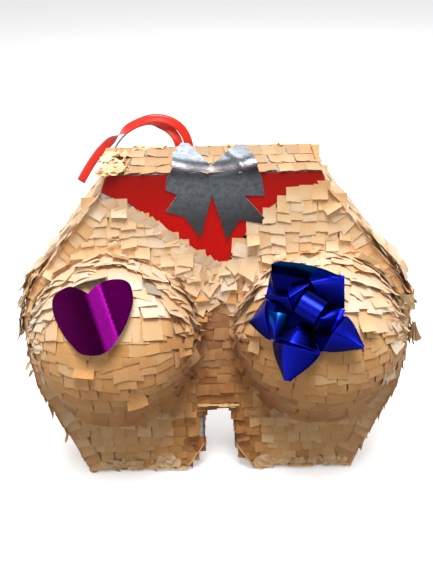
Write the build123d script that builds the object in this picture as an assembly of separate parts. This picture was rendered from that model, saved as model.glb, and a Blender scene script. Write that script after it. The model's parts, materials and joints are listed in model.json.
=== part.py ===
"""Party pinata: a flat hip-shaped card box with two papier-mache domes on its front.

Units are millimetres. X runs to the right, Y to the back and Z up. While the pieces are made,
Y = 0 is the outer face of the front card, Z = 0 is the lower edge of the card and X = 0 is the
middle of the box. At the end the whole model moves, so that its origin is the middle of its
base, on the surface it stands on.
"""
import os
from math import cos, pi, radians, sin, tan

from build123d import *

# ---------------------------------------------------------------- the card box
box_depth = 78.0  # outer face of the front card to outer face of the back card
card = 3.0  # corrugated card
card_height = 336.0  # lower edge of the feet to the top edge
top_half_width = 99.0
waist_half_width = 108.0
waist_z = 317.0  # where the short flare under the top edge ends
shoulder_half_width = 181.0
shoulder_z = 223.0
hip_half_width = 193.0
hip_top_z = 190.0
hip_bottom_z = 140.0
thigh_half_width = 186.0
thigh_z = 103.0
foot_outer = 141.0
foot_inner = 38.0
leg_gap_half_width = 18.0
leg_gap_flare_z = 29.0
leg_gap_top_z = 81.0
hip_round = 40.0  # how far the card is rounded at the hips
glue = 0.2  # a line of glue or air between two layers

# ---------------------------------------------------------------- paper layers
newsprint = 0.6  # pasted newsprint all over the box
fringe = 4.4  # the cut tissue, standing off the newsprint
collar_paper = 0.8  # pasted strips that hold a dome
collar_flange = 12.0
collar_height = 14.0
red_paper = 0.8
red_wrap_depth = 25.0  # how far the red paper is folded round the sides

# ---------------------------------------------------------------- domes
dome_radius = 84.0
dome_wall = 2.5
dome_x = 104.0
dome_z = 168.0
dome_fringe = 5.0

# ---------------------------------------------------------------- fill opening in the back
fill_width = 90.0
fill_height = 78.0
fill_top_z = 284.0  # the line that the flap folds on
flap_cut = 0.8  # width of the cut round the flap
fold_room = 7.5  # bare paper above and below the fold
tissue_cut = 1.0  # how far the tissue stays back from the cut and the knot

# ---------------------------------------------------------------- hanging ribbon
ribbon_width = 9.0
ribbon_thickness = 0.8
ribbon_slit_room = 0.3
ribbon_x = -29.0  # middle of the knot
ribbon_below_edge = 23.0  # middle of the knot below the card's top edge
slit_spacing = 14.0
patch_width = 60.0
patch_height = 24.0
patch_card = 2.0
knot_side = 2.5  # how far the knot stands out beside the tails
knot_height = 14.0
knot_depth = 18.0
knot_round = 2.5
tail_gap = 1.0  # between the two tails where they leave the knot
tail_depth = 14.0  # back card to the middle of a tail, where it leaves the knot

# ---------------------------------------------------------------- foil card
foil_card = 0.8
bow_lean = 75.0  # degrees that the bow's loops lean back over the top edge
heart_azimuth = -10.0
heart_elevation = 38.5
heart_left_fold = 10.0
heart_right_fold = 9.0
heart_height = 2.4  # how far its middle stands off the dome's tissue

# ---------------------------------------------------------------- gift bow
gift_azimuth = -15.0
gift_elevation = 33.0
gift_disc_radius = 14.0
gift_disc = 1.2
gift_foil = 0.5
gift_hub_radius = 4.0
outer_loop_angles = (185, 256, 338, 40, 113)
outer_loop_reach = (52, 56, 53, 52, 58)
outer_loop_height = 12.0
outer_loop_half_width = 19.0
inner_loop_angles = (149, 221, 297, 9, 77)
inner_loop_reach = 34.0
inner_loop_height = 11.0
inner_loop_half_width = 13.0
sector_half_angle = 31.0
centre_loop_radius = 9.0
centre_loop_width = 20.0
staple_wire = 1.0
staple_width = 5.0

# ---------------------------------------------------------------- heights of the stacked layers
skin = newsprint + fringe  # outer face of the tissue, from the card
depth_back = box_depth + skin
ribbon_z = card_height - ribbon_below_edge
tail_spacing = ribbon_width + tail_gap
knot_width = 2 * ribbon_width + tail_gap + 2 * knot_side
edge_split = (foot_inner + top_half_width) / 2  # shares the edge between the leg gap and the sides
far = 1000.0  # larger than the whole object, for cutting tools


def outline(amount=0.0):
    """The card's outline in the XZ plane, made larger by an amount, as a flat face."""
    right = [
        (top_half_width, card_height),
        (waist_half_width, waist_z),
        (shoulder_half_width, shoulder_z),
        (hip_half_width, hip_top_z),
        (hip_half_width, hip_bottom_z),
        (thigh_half_width, thigh_z),
        (foot_outer, 0),
        (foot_inner, 0),
        (leg_gap_half_width, leg_gap_flare_z),
        (leg_gap_half_width, leg_gap_top_z),
    ]
    rounding = [0, hip_round, hip_round, hip_round, hip_round, hip_round, 0, 0, 0, 0]
    left = [(-x, z) for x, z in reversed(right)]
    edge = FilletPolyline(*(right + left), radius=rounding + rounding[::-1], close=True)
    face = make_face(edge)
    if amount:
        face = offset(face, amount=amount, kind=Kind.INTERSECTION)
    return face


def slab(face, front, back):
    """A face drawn in X and Z, as a plate from Y = front to Y = back."""
    return Plane.XZ * Pos(0, 0, -back) * extrude(Sketch() + face, amount=back - front)


def block(x0, x1, y0, y1, z0, z1):
    """A box between two corners."""
    middle = ((x0 + x1) / 2, (y0 + y1) / 2, (z0 + z1) / 2)
    return Pos(*middle) * Box(x1 - x0, y1 - y0, z1 - z0)


def ring(inner, outer, front, back):
    """The band between two outlines."""
    return slab(outline(outer) - outline(inner), front, back)


def ball(side, radius):
    """A ball at the middle of one dome; side is -1 for the left and 1 for the right."""
    return Pos(side * dome_x, 0, dome_z) * Sphere(radius)


def disc(side, radius, front, back):
    """A short cylinder on one dome's axis."""
    middle = Pos(side * dome_x, (front + back) / 2, dome_z)
    return middle * Rot(90, 0, 0) * Cylinder(radius, back - front)


def polygon(points):
    """A flat face from points in X and Z."""
    return make_face(Polyline(*points, close=True))


def beyond(side, x):
    """Everything further out than x on one side; side is -1 for the left and 1 for the right."""
    low, high = sorted((side * x, side * far))
    return block(low, high, -far, far, -far, far)


def between(x):
    """Everything within x of the middle."""
    return block(-x, x, -far, far, -far, far)


# ================================================================ card box
def front_panel():
    return slab(outline(), 0, card)


def fill_hole(room, front, back):
    """The fill opening, made larger by some room on its sides and lower edge."""
    half = fill_width / 2 + room
    return block(-half, half, front, back, fill_top_z - fill_height - room, fill_top_z)


def ribbon_slits(front, back):
    """The two slits that the hanging ribbon passes through."""
    half_width = ribbon_thickness / 2 + ribbon_slit_room
    half_height = ribbon_width / 2 + ribbon_slit_room
    cuts = []
    for side in (-1, 1):
        x = ribbon_x + side * slit_spacing / 2
        cuts.append(
            block(x - half_width, x + half_width, front, back, ribbon_z - half_height, ribbon_z + half_height)
        )
    return cuts[0] + cuts[1]


def back_panel():
    panel = slab(outline(), box_depth - card, box_depth)
    return panel - fill_hole(0, 0, far) - ribbon_slits(0, far)


def edge_strips():
    """The strips of card between the two panels, one round each stretch of the edge."""
    band = ring(-card, 0, card, box_depth - card)
    top = block(-far, far, 0, far, card_height - card, far)
    sole = block(-far, far, 0, far, -far, card)
    rest = band - top - sole
    return {
        "top_strip": band & top,
        "left_side_strip": rest & beyond(-1, edge_split),
        "right_side_strip": rest & beyond(1, edge_split),
        "left_foot_strip": band & sole & beyond(-1, 0),
        "right_foot_strip": band & sole & beyond(1, 0),
        "leg_gap_strip": rest & between(edge_split),
    }


# ================================================================ domes
def dome(side):
    shell = ball(side, dome_radius) - ball(side, dome_radius - dome_wall)
    return shell & block(-far, far, -far, 0, -far, far)


def dome_collar(side):
    """Pasted strips: a flange on the box and a band up the dome."""
    outer = dome_radius + collar_paper
    band = (ball(side, outer) - ball(side, dome_radius)) & block(-far, far, -collar_height, 0, -far, far)
    flange = disc(side, dome_radius + collar_flange, -collar_paper, 0) - ball(side, dome_radius)
    return (band + flange) & slab(outline(), -far, 0)


def dome_tissue(side):
    inner = dome_radius + collar_paper
    shell = ball(side, inner + dome_fringe) - ball(side, inner)
    return shell & block(-far, far, -far, -collar_paper, -far, far)


def dome_room():
    """Where the domes' tissue stands, for the layers round it to be cut back."""
    radius = dome_radius + collar_paper + dome_fringe + 2 * glue
    return ball(-1, radius) + ball(1, radius)


# ================================================================ newsprint
def front_newsprint():
    sheet = slab(outline(), -newsprint, 0)
    reach = dome_radius + collar_flange + glue
    return sheet - disc(-1, reach, -far, far) - disc(1, reach, -far, far)


def back_newsprint():
    sheet = slab(outline(), box_depth, box_depth + newsprint)
    return sheet - fill_hole(0, 0, far) - ribbon_slits(0, far)


def edge_newsprint():
    return ring(0, newsprint, 0, box_depth)


# ================================================================ red paper
def red_outline(room=0.0):
    """The V of red paper, and where it runs out to the two sides."""
    points = [
        (-107, waist_z + 2),
        (-84, 309),
        (-50, 284),
        (-12, 253),
        (9, 241),
        (20, 260),
        (31, 277),
        (48, 298),
        (72, 314),
        (106, waist_z + 5),
        (far, waist_z + 5),
        (far, far),
        (-far, far),
        (-far, waist_z + 2),
    ]
    face = polygon(points)
    if room:
        face = offset(face, amount=room, kind=Kind.INTERSECTION)
    return face


def red_panel():
    front = -newsprint - glue - red_paper
    sheet = slab(outline(newsprint + glue + red_paper), front, front + red_paper)
    wrap = ring(newsprint + glue, newsprint + glue + red_paper, front, red_wrap_depth)
    below_edge = block(-far, far, -far, far, -far, card_height)
    return (sheet + wrap) & slab(red_outline(), -far, far) & below_edge


# ================================================================ tissue
def box_tissue():
    """The tissue on the front and the back of the box."""
    front_start = -collar_paper - glue
    sheet = slab(outline(newsprint), front_start - fringe, front_start)
    gap = newsprint + glue + red_paper
    bow_room = offset(bow_outline(), amount=2 * glue, kind=Kind.INTERSECTION)
    front = sheet - dome_room() - slab(red_outline(gap), -far, far) - slab(bow_room, -far, far)
    back = slab(outline(newsprint), box_depth + newsprint, depth_back)
    knot_half = knot_width / 2 + tissue_cut
    knot_room = block(
        ribbon_x - knot_half,
        ribbon_x + knot_half,
        0,
        far,
        ribbon_z - knot_height / 2 - tissue_cut,
        ribbon_z + knot_height / 2 + tissue_cut,
    )
    half = fill_width / 2 + tissue_cut
    low = fill_top_z - fill_height - tissue_cut
    flap_room = block(-half, half, 0, far, low, fill_top_z + fold_room)
    back = back - knot_room - flap_room
    return {"front_tissue": front, "back_tissue": back}


def edge_tissue():
    """The tissue round the edge of the box, in six stretches."""
    front = -collar_paper - glue - fringe
    band = ring(newsprint, skin, front, depth_back)
    top = block(-far, far, -newsprint, far, card_height + newsprint, far)
    sole = block(-far, far, -far, far, -far, -newsprint)
    wrap_room = newsprint + glue + red_paper
    red_room = slab(red_outline(wrap_room), -far, far) & block(
        -far, far, -far, red_wrap_depth + tissue_cut, -far, card_height + newsprint
    )
    over = block(-far, far, -far, far, card_height + newsprint, far)
    rest = band - over - sole - red_room
    sides = rest - dome_room()
    return {
        "top_tissue": band & top,
        "left_side_tissue": sides & beyond(-1, edge_split),
        "right_side_tissue": sides & beyond(1, edge_split),
        "left_foot_tissue": band & sole & beyond(-1, 0),
        "right_foot_tissue": band & sole & beyond(1, 0),
        "leg_gap_tissue": rest & between(edge_split),
    }


# ================================================================ fill flap
def fill_flap():
    """The flap cut out of the back: card with its newsprint, folding on its upper edge."""
    half = fill_width / 2 - flap_cut
    low = fill_top_z - fill_height + flap_cut
    return block(-half, half, box_depth - card, box_depth + newsprint, low, fill_top_z - flap_cut / 2)


def flap_tissue():
    half = fill_width / 2 - flap_cut
    low = fill_top_z - fill_height + flap_cut
    return block(-half, half, box_depth + newsprint, depth_back, low, fill_top_z - fold_room)


# ================================================================ hanging ribbon
def hang_patch():
    """A patch of card pasted inside the back, so that the ribbon doesn't tear out."""
    back = box_depth - card
    half = patch_width / 2
    patch = block(
        ribbon_x - half,
        ribbon_x + half,
        back - patch_card,
        back,
        ribbon_z - patch_height / 2,
        ribbon_z + patch_height / 2,
    )
    return patch - ribbon_slits(0, far)


def ribbon_stay():
    """The ribbon's hidden stretch: in at one slit, across the patch and out at the other."""
    inner = box_depth - card - patch_card
    outer = box_depth + newsprint
    z0 = ribbon_z - ribbon_width / 2
    z1 = ribbon_z + ribbon_width / 2
    half = slit_spacing / 2
    t = ribbon_thickness / 2
    across = block(ribbon_x - half - t, ribbon_x + half + t, inner - 2 * t, inner, z0, z1)
    left = block(ribbon_x - half - t, ribbon_x - half + t, inner - t, outer, z0, z1)
    right = block(ribbon_x + half - t, ribbon_x + half + t, inner - t, outer, z0, z1)
    return across + left + right


def ribbon_knot():
    front = box_depth + newsprint
    knot = block(
        ribbon_x - knot_width / 2,
        ribbon_x + knot_width / 2,
        front,
        front + knot_depth,
        ribbon_z - knot_height / 2,
        ribbon_z + knot_height / 2,
    )
    return fillet(knot.edges().filter_by(Axis.X), radius=knot_round)


knot_top = ribbon_z + knot_height / 2
tail_y = box_depth + tail_depth

# Each route starts at the knot's top, rises clear of the top edge and arches to the left.
long_tail_route = [
    (ribbon_x + tail_spacing / 2, tail_y, knot_top),
    (ribbon_x + tail_spacing / 2, tail_y, 339),
    (-35, tail_y + 2, 358),
    (-58, tail_y + 3, 366),
    (-84, tail_y + 3, 357),
    (-107, tail_y + 3, 341),
    (-126, tail_y + 2, 322),
    (-140, tail_y, 299),
]
short_tail_route = [
    (ribbon_x - tail_spacing / 2, tail_y, knot_top),
    (ribbon_x - tail_spacing / 2, tail_y, 336),
    (-42, tail_y + 6, 350),
    (-60, tail_y + 12, 358),
    (-82, tail_y + 14, 352),
    (-100, tail_y + 12, 338),
    (-110, tail_y + 8, 319),
]


def bend_radii(route):
    """The arc at each inner point: 0.45 of the shorter run over the tangent of half the turn."""
    points = [Vector(*p) for p in route]
    radii = []
    for before, here, after in zip(points, points[1:], points[2:]):
        run_in = here - before
        run_out = after - here
        turn = radians(run_in.get_angle(run_out))
        radii.append(0.45 * min(run_in.length, run_out.length) / tan(turn / 2))
    return radii


def ribbon_tail(name, route):
    """A tail of the ribbon: a plain round tube as wide as the ribbon, on straight runs and arcs."""
    radii = bend_radii(route)
    path = FilletPolyline(*route, radius=radii)
    start = Plane(origin=path @ 0, z_dir=path % 0)
    tube = sweep(start * Circle(ribbon_width / 2), path=path)
    expected = pi * (ribbon_width / 2) ** 2 * path.length
    print(name, "length", round(path.length, 1), "radii", [round(r, 1) for r in radii])
    print(name, "volume over section times length", round(tube.volume / expected, 4))
    return tube


# ================================================================ silver bow
bow_bend_z = card_height + skin + 1  # just above the tissue on the top edge


def bow_outline():
    """The lower part of the bow, which lies flat: two loops and two notched tails."""
    return polygon(
        [
            (-39, bow_bend_z),
            (-45, 332),
            (-46, 321),
            (-35, 316),
            (-47, 299),
            (-30, 293.5),
            (-14, 272),
            (-2.3, 315),
            (11, 269.5),
            (24, 289),
            (54, 283),
            (28, 314),
            (48, 313),
            (45, 331),
            (41, bow_bend_z),
        ]
    )


def silver_bow():
    """Foil card: tails and lower loops flat on the front, the loops' tops leaning back."""
    back = -newsprint - 2 * glue - red_paper
    flat = bow_outline()
    left_loop = polygon([(-39, 0), (-38.5, 18), (-31, 38), (-23.5, 38), (-9, 12), (-4, 0)])
    right_loop = polygon([(-3, 0), (8, 14), (20, 33), (30, 31), (36, 16), (41, 0)])
    lower = slab(flat, back - foil_card, back)
    hinge = Plane(origin=(0, back - foil_card, bow_bend_z), x_dir=(1, 0, 0), z_dir=(0, -1, 0))
    leaning = hinge * Rot(-bow_lean, 0, 0)
    upper = []
    for loop in (left_loop, right_loop):
        upper.append(leaning * extrude(Sketch() + loop, amount=-foil_card))
    return lower + upper[0] + upper[1]


# ================================================================ pieces on the domes
def dome_place(side, azimuth, elevation, height):
    """A plane that touches a dome's tissue at the given direction, u to the right and w out."""
    az = radians(azimuth)
    el = radians(elevation)
    out = Vector(sin(az) * cos(el), -cos(az) * cos(el), sin(el))
    right = Vector(cos(az), sin(az), 0)
    radius = dome_radius + collar_paper + dome_fringe + height
    return Plane(origin=Vector(side * dome_x, 0, dome_z) + out * radius, x_dir=right, z_dir=out)


def heart_outline():
    """The heart, drawn flat: one curve round each lobe, from the notch to the tip."""
    notch = (-5, 20)
    tip = (12, -37)
    right_lobe = Spline(notch, (6, 34), (21, 38), (34, 30), (36, 12), (28, -12), tip)
    left_lobe = Spline(tip, (-12, -30), (-33, -12), (-42, 8), (-37, 23), (-24, 27), notch)
    return make_face([right_lobe, left_lobe])


def folded(plate, first, second, angle):
    """Turn a plate about the line through two points of its outer face."""
    start = Vector(first[0], first[1], foil_card)
    line = Axis(origin=start, direction=Vector(second[0], second[1], foil_card) - start)
    return plate.rotate(line, angle)


def purple_heart():
    """Foil card with two folds, a flat band between them, bent back over the dome."""
    left_fold = ((-7, 20), (19, -34))
    right_fold = ((4, 34), (30, -20))
    heart = extrude(Sketch() + heart_outline(), amount=foil_card)

    def half_plane(fold, side):
        a = Vector(*fold[0])
        b = Vector(*fold[1])
        along = (b - a).normalized()
        across = Vector(-along.Y, along.X) * side * far
        a2 = a - along * far
        b2 = b + along * far
        face = make_face(Polyline(a2, b2, b2 + across, a2 + across, close=True))
        return extrude(Sketch() + face, amount=far, both=True)

    left = heart & half_plane(left_fold, -1)
    right = heart & half_plane(right_fold, 1)
    band = heart - half_plane(left_fold, -1) - half_plane(right_fold, 1)
    left = folded(left, *left_fold, heart_left_fold)
    right = folded(right, *right_fold, -heart_right_fold)
    place = dome_place(-1, heart_azimuth, heart_elevation, heart_height)
    return place * (band + left + right)


# ================================================================ gift bow
def loop_profile(reach, height, inset=0.0):
    """The side view of one ribbon loop: out along the bottom, round a tip and back over the top."""
    corners = [
        (gift_hub_radius, 0),
        (0.5 * reach, 0),
        (reach, 0.3 * height),
        (reach - 2, 0.5 * height),
        (0.5 * reach, height),
        (gift_hub_radius, 0.8 * height),
    ]
    rounding = [1.0, 12.0, 0.8, 0.8, 12.0, 1.0]
    face = make_face(FilletPolyline(*corners, radius=rounding, close=True))
    if inset:
        face = offset(face, amount=-inset)
    return face


def pointed_loop(angle, reach, height, half_width, base):
    """One loop of foil ribbon, drawn in to a point at its tip, at an angle round the bow."""
    wall = loop_profile(reach, height) - loop_profile(reach, height, gift_foil)
    side_view = Plane.XZ * Pos(0, 0, -half_width)
    strip = side_view * extrude(Sketch() + wall, amount=2 * half_width)
    start = gift_hub_radius - 1
    wide = half_width / tan(radians(sector_half_angle))
    plan = polygon(
        [
            (start, start * tan(radians(sector_half_angle))),
            (wide, half_width),
            (reach + 1, 2),
            (reach + 1, -2),
            (wide, -half_width),
            (start, -start * tan(radians(sector_half_angle))),
        ]
    )
    strip = strip & extrude(Sketch() + plan, amount=far, both=True)
    return Rot(0, 0, angle) * Pos(0, 0, base) * strip


def gift_bow():
    """The star bow's parts, in the plane that touches the dome."""
    place = dome_place(1, gift_azimuth, gift_elevation, glue)
    outer_base = gift_disc + glue
    inner_base = outer_base + outer_loop_height + glue
    centre_base = inner_base + inner_loop_height + glue
    outer = [
        pointed_loop(angle, reach, outer_loop_height, outer_loop_half_width, outer_base)
        for angle, reach in zip(outer_loop_angles, outer_loop_reach)
    ]
    inner = [
        pointed_loop(angle, inner_loop_reach, inner_loop_height, inner_loop_half_width, inner_base)
        for angle in inner_loop_angles
    ]
    roll = Cylinder(centre_loop_radius, centre_loop_width)
    roll = roll - Cylinder(centre_loop_radius - gift_foil, 2 * centre_loop_width)
    roll = Pos(0, 0, centre_base + centre_loop_radius) * Rot(0, 90, 30) * roll
    crown_z = centre_base - 2 * glue
    wire = staple_wire
    leg = crown_z - gift_disc - glue
    crown = Pos(0, 0, crown_z - wire / 2) * Box(staple_width, wire, wire)
    legs = [
        Pos(side * (staple_width - wire) / 2, 0, crown_z - leg / 2) * Box(wire, wire, leg) for side in (-1, 1)
    ]
    base = Pos(0, 0, gift_disc / 2) * Cylinder(gift_disc_radius, gift_disc)
    return {
        "gift_bow_base": place * base,
        "gift_bow_outer_loops": [place * loop for loop in outer],
        "gift_bow_inner_loops": [place * loop for loop in inner],
        "gift_bow_centre_loop": place * roll,
        "gift_bow_staple": place * (crown + legs[0] + legs[1]),
    }


# ================================================================ all the pieces
def all_pieces():
    pieces = {"front_panel": front_panel(), "back_panel": back_panel()}
    pieces.update(edge_strips())
    for name, side in (("left", -1), ("right", 1)):
        pieces[f"{name}_dome"] = dome(side)
        pieces[f"{name}_dome_collar"] = dome_collar(side)
        pieces[f"{name}_dome_tissue"] = dome_tissue(side)
    pieces["front_newsprint"] = front_newsprint()
    pieces["back_newsprint"] = back_newsprint()
    pieces["edge_newsprint"] = edge_newsprint()
    pieces["red_panel"] = red_panel()
    pieces.update(box_tissue())
    pieces.update(edge_tissue())
    pieces["silver_bow"] = silver_bow()
    pieces["purple_heart"] = purple_heart()
    pieces.update(gift_bow())
    pieces["fill_flap"] = fill_flap()
    pieces["fill_flap_tissue"] = flap_tissue()
    pieces["hang_patch"] = hang_patch()
    pieces["ribbon_stay"] = ribbon_stay()
    pieces["ribbon_knot"] = ribbon_knot()
    pieces["ribbon_long_tail"] = ribbon_tail("ribbon_long_tail", long_tail_route)
    pieces["ribbon_short_tail"] = ribbon_tail("ribbon_short_tail", short_tail_route)
    return pieces


def solids_of(piece):
    """The separate solids of a piece, which may be one shape or a list of shapes."""
    shapes = piece if isinstance(piece, list) else [piece]
    return [solid for shape in shapes for solid in shape.solids()]


pieces = {name: solids_of(piece) for name, piece in all_pieces().items()}
body = Compound(children=[s for name, group in pieces.items() if "tail" not in name for s in group])
extent = body.bounding_box()
middle = extent.center()
to_origin = Pos(-middle.X, -middle.Y, -extent.min.Z)
print("moved by", round(-middle.X, 3), round(-middle.Y, 3), round(-extent.min.Z, 3))

os.makedirs("parts", exist_ok=True)
for name, group in pieces.items():
    moved = [to_origin * Solid(s.wrapped) for s in group]
    shape = moved[0] if len(moved) == 1 else Compound(children=moved)
    export_step(shape, f"parts/{name}.step")
print(len(pieces), "nodes")
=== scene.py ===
# %% [markdown]
# # A party pinata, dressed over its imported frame
#
# The pinata is a flat hip-shaped card box with two papier-mache half balls on its front. Nearly
# everything that shows is paper: rows of cut peach tissue, a V of glossy red paper, foil card and
# foil ribbon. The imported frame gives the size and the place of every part, so this lesson only
# dresses it. Each piece is made in mesh code, put where the frame says, and rides on its body.

import json
from math import atan2, cos, pi, radians, sin

import bpy
import numpy as np
from mathutils import Matrix, Vector, geometry


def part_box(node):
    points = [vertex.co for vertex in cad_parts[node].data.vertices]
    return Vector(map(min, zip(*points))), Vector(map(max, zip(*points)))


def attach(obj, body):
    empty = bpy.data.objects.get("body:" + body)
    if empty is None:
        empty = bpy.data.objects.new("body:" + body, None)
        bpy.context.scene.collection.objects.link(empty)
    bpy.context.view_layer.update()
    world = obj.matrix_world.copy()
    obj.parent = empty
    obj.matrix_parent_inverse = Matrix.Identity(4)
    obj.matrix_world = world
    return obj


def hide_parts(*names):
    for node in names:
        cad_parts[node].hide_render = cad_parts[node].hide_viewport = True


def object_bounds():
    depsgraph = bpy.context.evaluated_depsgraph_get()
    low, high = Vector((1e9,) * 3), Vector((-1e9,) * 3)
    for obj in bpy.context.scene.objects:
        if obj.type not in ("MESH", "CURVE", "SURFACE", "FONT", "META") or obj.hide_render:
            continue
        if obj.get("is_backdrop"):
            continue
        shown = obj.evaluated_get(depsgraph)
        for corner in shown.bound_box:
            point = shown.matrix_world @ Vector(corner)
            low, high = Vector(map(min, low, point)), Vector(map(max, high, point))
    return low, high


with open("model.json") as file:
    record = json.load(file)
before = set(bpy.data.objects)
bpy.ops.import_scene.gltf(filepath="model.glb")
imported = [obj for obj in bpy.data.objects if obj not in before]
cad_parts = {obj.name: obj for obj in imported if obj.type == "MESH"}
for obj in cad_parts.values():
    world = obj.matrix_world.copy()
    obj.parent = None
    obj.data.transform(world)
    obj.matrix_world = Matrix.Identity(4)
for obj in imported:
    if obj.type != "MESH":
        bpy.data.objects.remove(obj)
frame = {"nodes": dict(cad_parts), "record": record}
cad_box = [list(corner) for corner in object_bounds()]
print("frame box", [[round(c, 3) for c in corner] for corner in cad_box])

# %% [markdown]
# ## The camera
#
# The pinata is looked at from a little above, about as far away as a person stands from a table.
# A long lens keeps the box's sides nearly parallel. The camera comes first, because the ribbon's
# tails are later measured against what it sees.

# %% Camera
MM = 0.001
LENS = 74.8
CAMERA_RISE = radians(26.0)
CAMERA_ROLL = radians(-1.3)
CAMERA_DISTANCE = 0.9
AIM_HEIGHT = 0.220
card_low, card_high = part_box("front_panel")
CARD_FRONT = card_low.y / MM
CARD_LOW = card_low.z / MM
CARD_TOP = (card_high.z - card_low.z) / MM
CARD_DEPTH = (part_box("back_panel")[1].y - card_low.y) / MM

camera_data = bpy.data.cameras.new("camera")
camera_data.lens = LENS
camera_data.sensor_width = 36.0
camera_data.sensor_fit = "HORIZONTAL"
camera = bpy.data.objects.new("camera", camera_data)
bpy.context.scene.collection.objects.link(camera)
target = Vector((0.0, card_low.y, AIM_HEIGHT))
away = Vector((0.0, -cos(CAMERA_RISE), sin(CAMERA_RISE)))
camera.location = target + CAMERA_DISTANCE * away
look = (target - camera.location).to_track_quat("-Z", "Y")
roll = Matrix.Rotation(CAMERA_ROLL, 4, "Z")
camera.rotation_euler = (look.to_matrix().to_4x4() @ roll).to_euler()
bpy.context.scene.camera = camera
print("card box", round(CARD_TOP), "mm tall and", round(CARD_DEPTH), "mm deep")

# %% [markdown]
# ## Working in the card's own millimetres
#
# The sizes of paper squares are easiest to think of in millimetres, measured from the front card:
# X to the right, Y back from the card's face and Z up from its lower edge. One helper turns such
# points into the frame's metres, and one makes a mesh object with its attributes and its material.

# %% Points and meshes
SHIFT = np.array([0.0, CARD_FRONT, CARD_LOW])


def to_frame(points):
    """Card millimetres to the frame's metres."""
    return (np.asarray(points, dtype=float) + SHIFT) * MM


def make_mesh(name, points, faces, materials, marks=None, smooth=True, slots=None):
    """A mesh object from card millimetres, with point attributes and a material for each face."""
    mesh = bpy.data.meshes.new(name)
    mesh.from_pydata(to_frame(points).tolist(), [], faces)
    for mark, values in (marks or {}).items():
        layer = mesh.attributes.new(mark, "FLOAT", "POINT")
        layer.data.foreach_set("value", np.asarray(values, dtype=np.float32))
    for material in materials:
        mesh.materials.append(material)
    mesh.polygons.foreach_set("use_smooth", np.full(len(mesh.polygons), smooth))
    if slots is not None:
        mesh.polygons.foreach_set("material_index", np.asarray(slots, dtype=np.int32))
    mesh.update()
    piece = bpy.data.objects.new(name, mesh)
    bpy.context.scene.collection.objects.link(piece)
    return piece


def stand_for(piece, node, body="pinata"):
    """A piece takes the place of a CAD node, which is hidden, and rides on a body."""
    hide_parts(node)
    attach(piece, body)


def grid_faces(rows, columns, start=0):
    """The quads of a grid whose points run row by row."""
    corners = []
    for row in range(rows - 1):
        for column in range(columns - 1):
            first = start + row * columns + column
            corners.append((first, first + 1, first + columns + 1, first + columns))
    return corners


def unit(vectors):
    """Vectors of length one."""
    vectors = np.asarray(vectors, dtype=float)
    return vectors / np.maximum(np.linalg.norm(vectors, axis=-1, keepdims=True), 1e-9)


# %% [markdown]
# ## Two shared effects
#
# Paper, tissue and card all have soft creases and a little colour drift, and the three foils all
# have fine scratches and slow dents. Each effect is a node group, built once. A group puts out
# only masks and heights, and the shader itself stays in the material.

# %% Node helpers
def colour(red, green, blue):
    """A screen colour from 0 to 1 as the linear colour that a shader needs."""
    linear = [c / 12.92 if c <= 0.04045 else ((c + 0.055) / 1.055) ** 2.4 for c in (red, green, blue)]
    return (*linear, 1.0)


def wire(tree, source, target):
    """Joins an output socket to an input socket."""
    tree.links.new(source, target)


def new_group(name, inputs, outputs):
    """An empty node group with float inputs, (name, value), and named float outputs."""
    tree = bpy.data.node_groups.new(name, "ShaderNodeTree")
    for label, value in inputs:
        socket = tree.interface.new_socket(label, in_out="INPUT", socket_type="NodeSocketFloat")
        socket.default_value = value
    for label in outputs:
        tree.interface.new_socket(label, in_out="OUTPUT", socket_type="NodeSocketFloat")
    entry = tree.nodes.new("NodeGroupInput")
    leave = tree.nodes.new("NodeGroupOutput")
    return tree, entry, leave


def feed(tree, value, socket):
    """Joins a socket to an input, or sets the input to a number or a colour."""
    if hasattr(value, "links"):
        wire(tree, value, socket)
    else:
        socket.default_value = value


def maths(tree, operation, first, second):
    """A Math node; each value is a number or a socket."""
    node = tree.nodes.new("ShaderNodeMath")
    node.operation = operation
    feed(tree, first, node.inputs[0])
    feed(tree, second, node.inputs[1])
    return node.outputs[0]


def object_place(tree):
    """Where a point lies on the object, so an effect stays put when the object moves."""
    return tree.nodes.new("ShaderNodeTexCoord").outputs["Object"]


def noise(tree, place, scale, detail=2.0, grit=0.5, output="Fac"):
    """A Noise texture, whose scale is a number or a socket."""
    node = tree.nodes.new("ShaderNodeTexNoise")
    wire(tree, place, node.inputs["Vector"])
    feed(tree, scale, node.inputs["Scale"])
    node.inputs["Detail"].default_value = detail
    node.inputs["Roughness"].default_value = grit
    return node.outputs[output]


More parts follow.
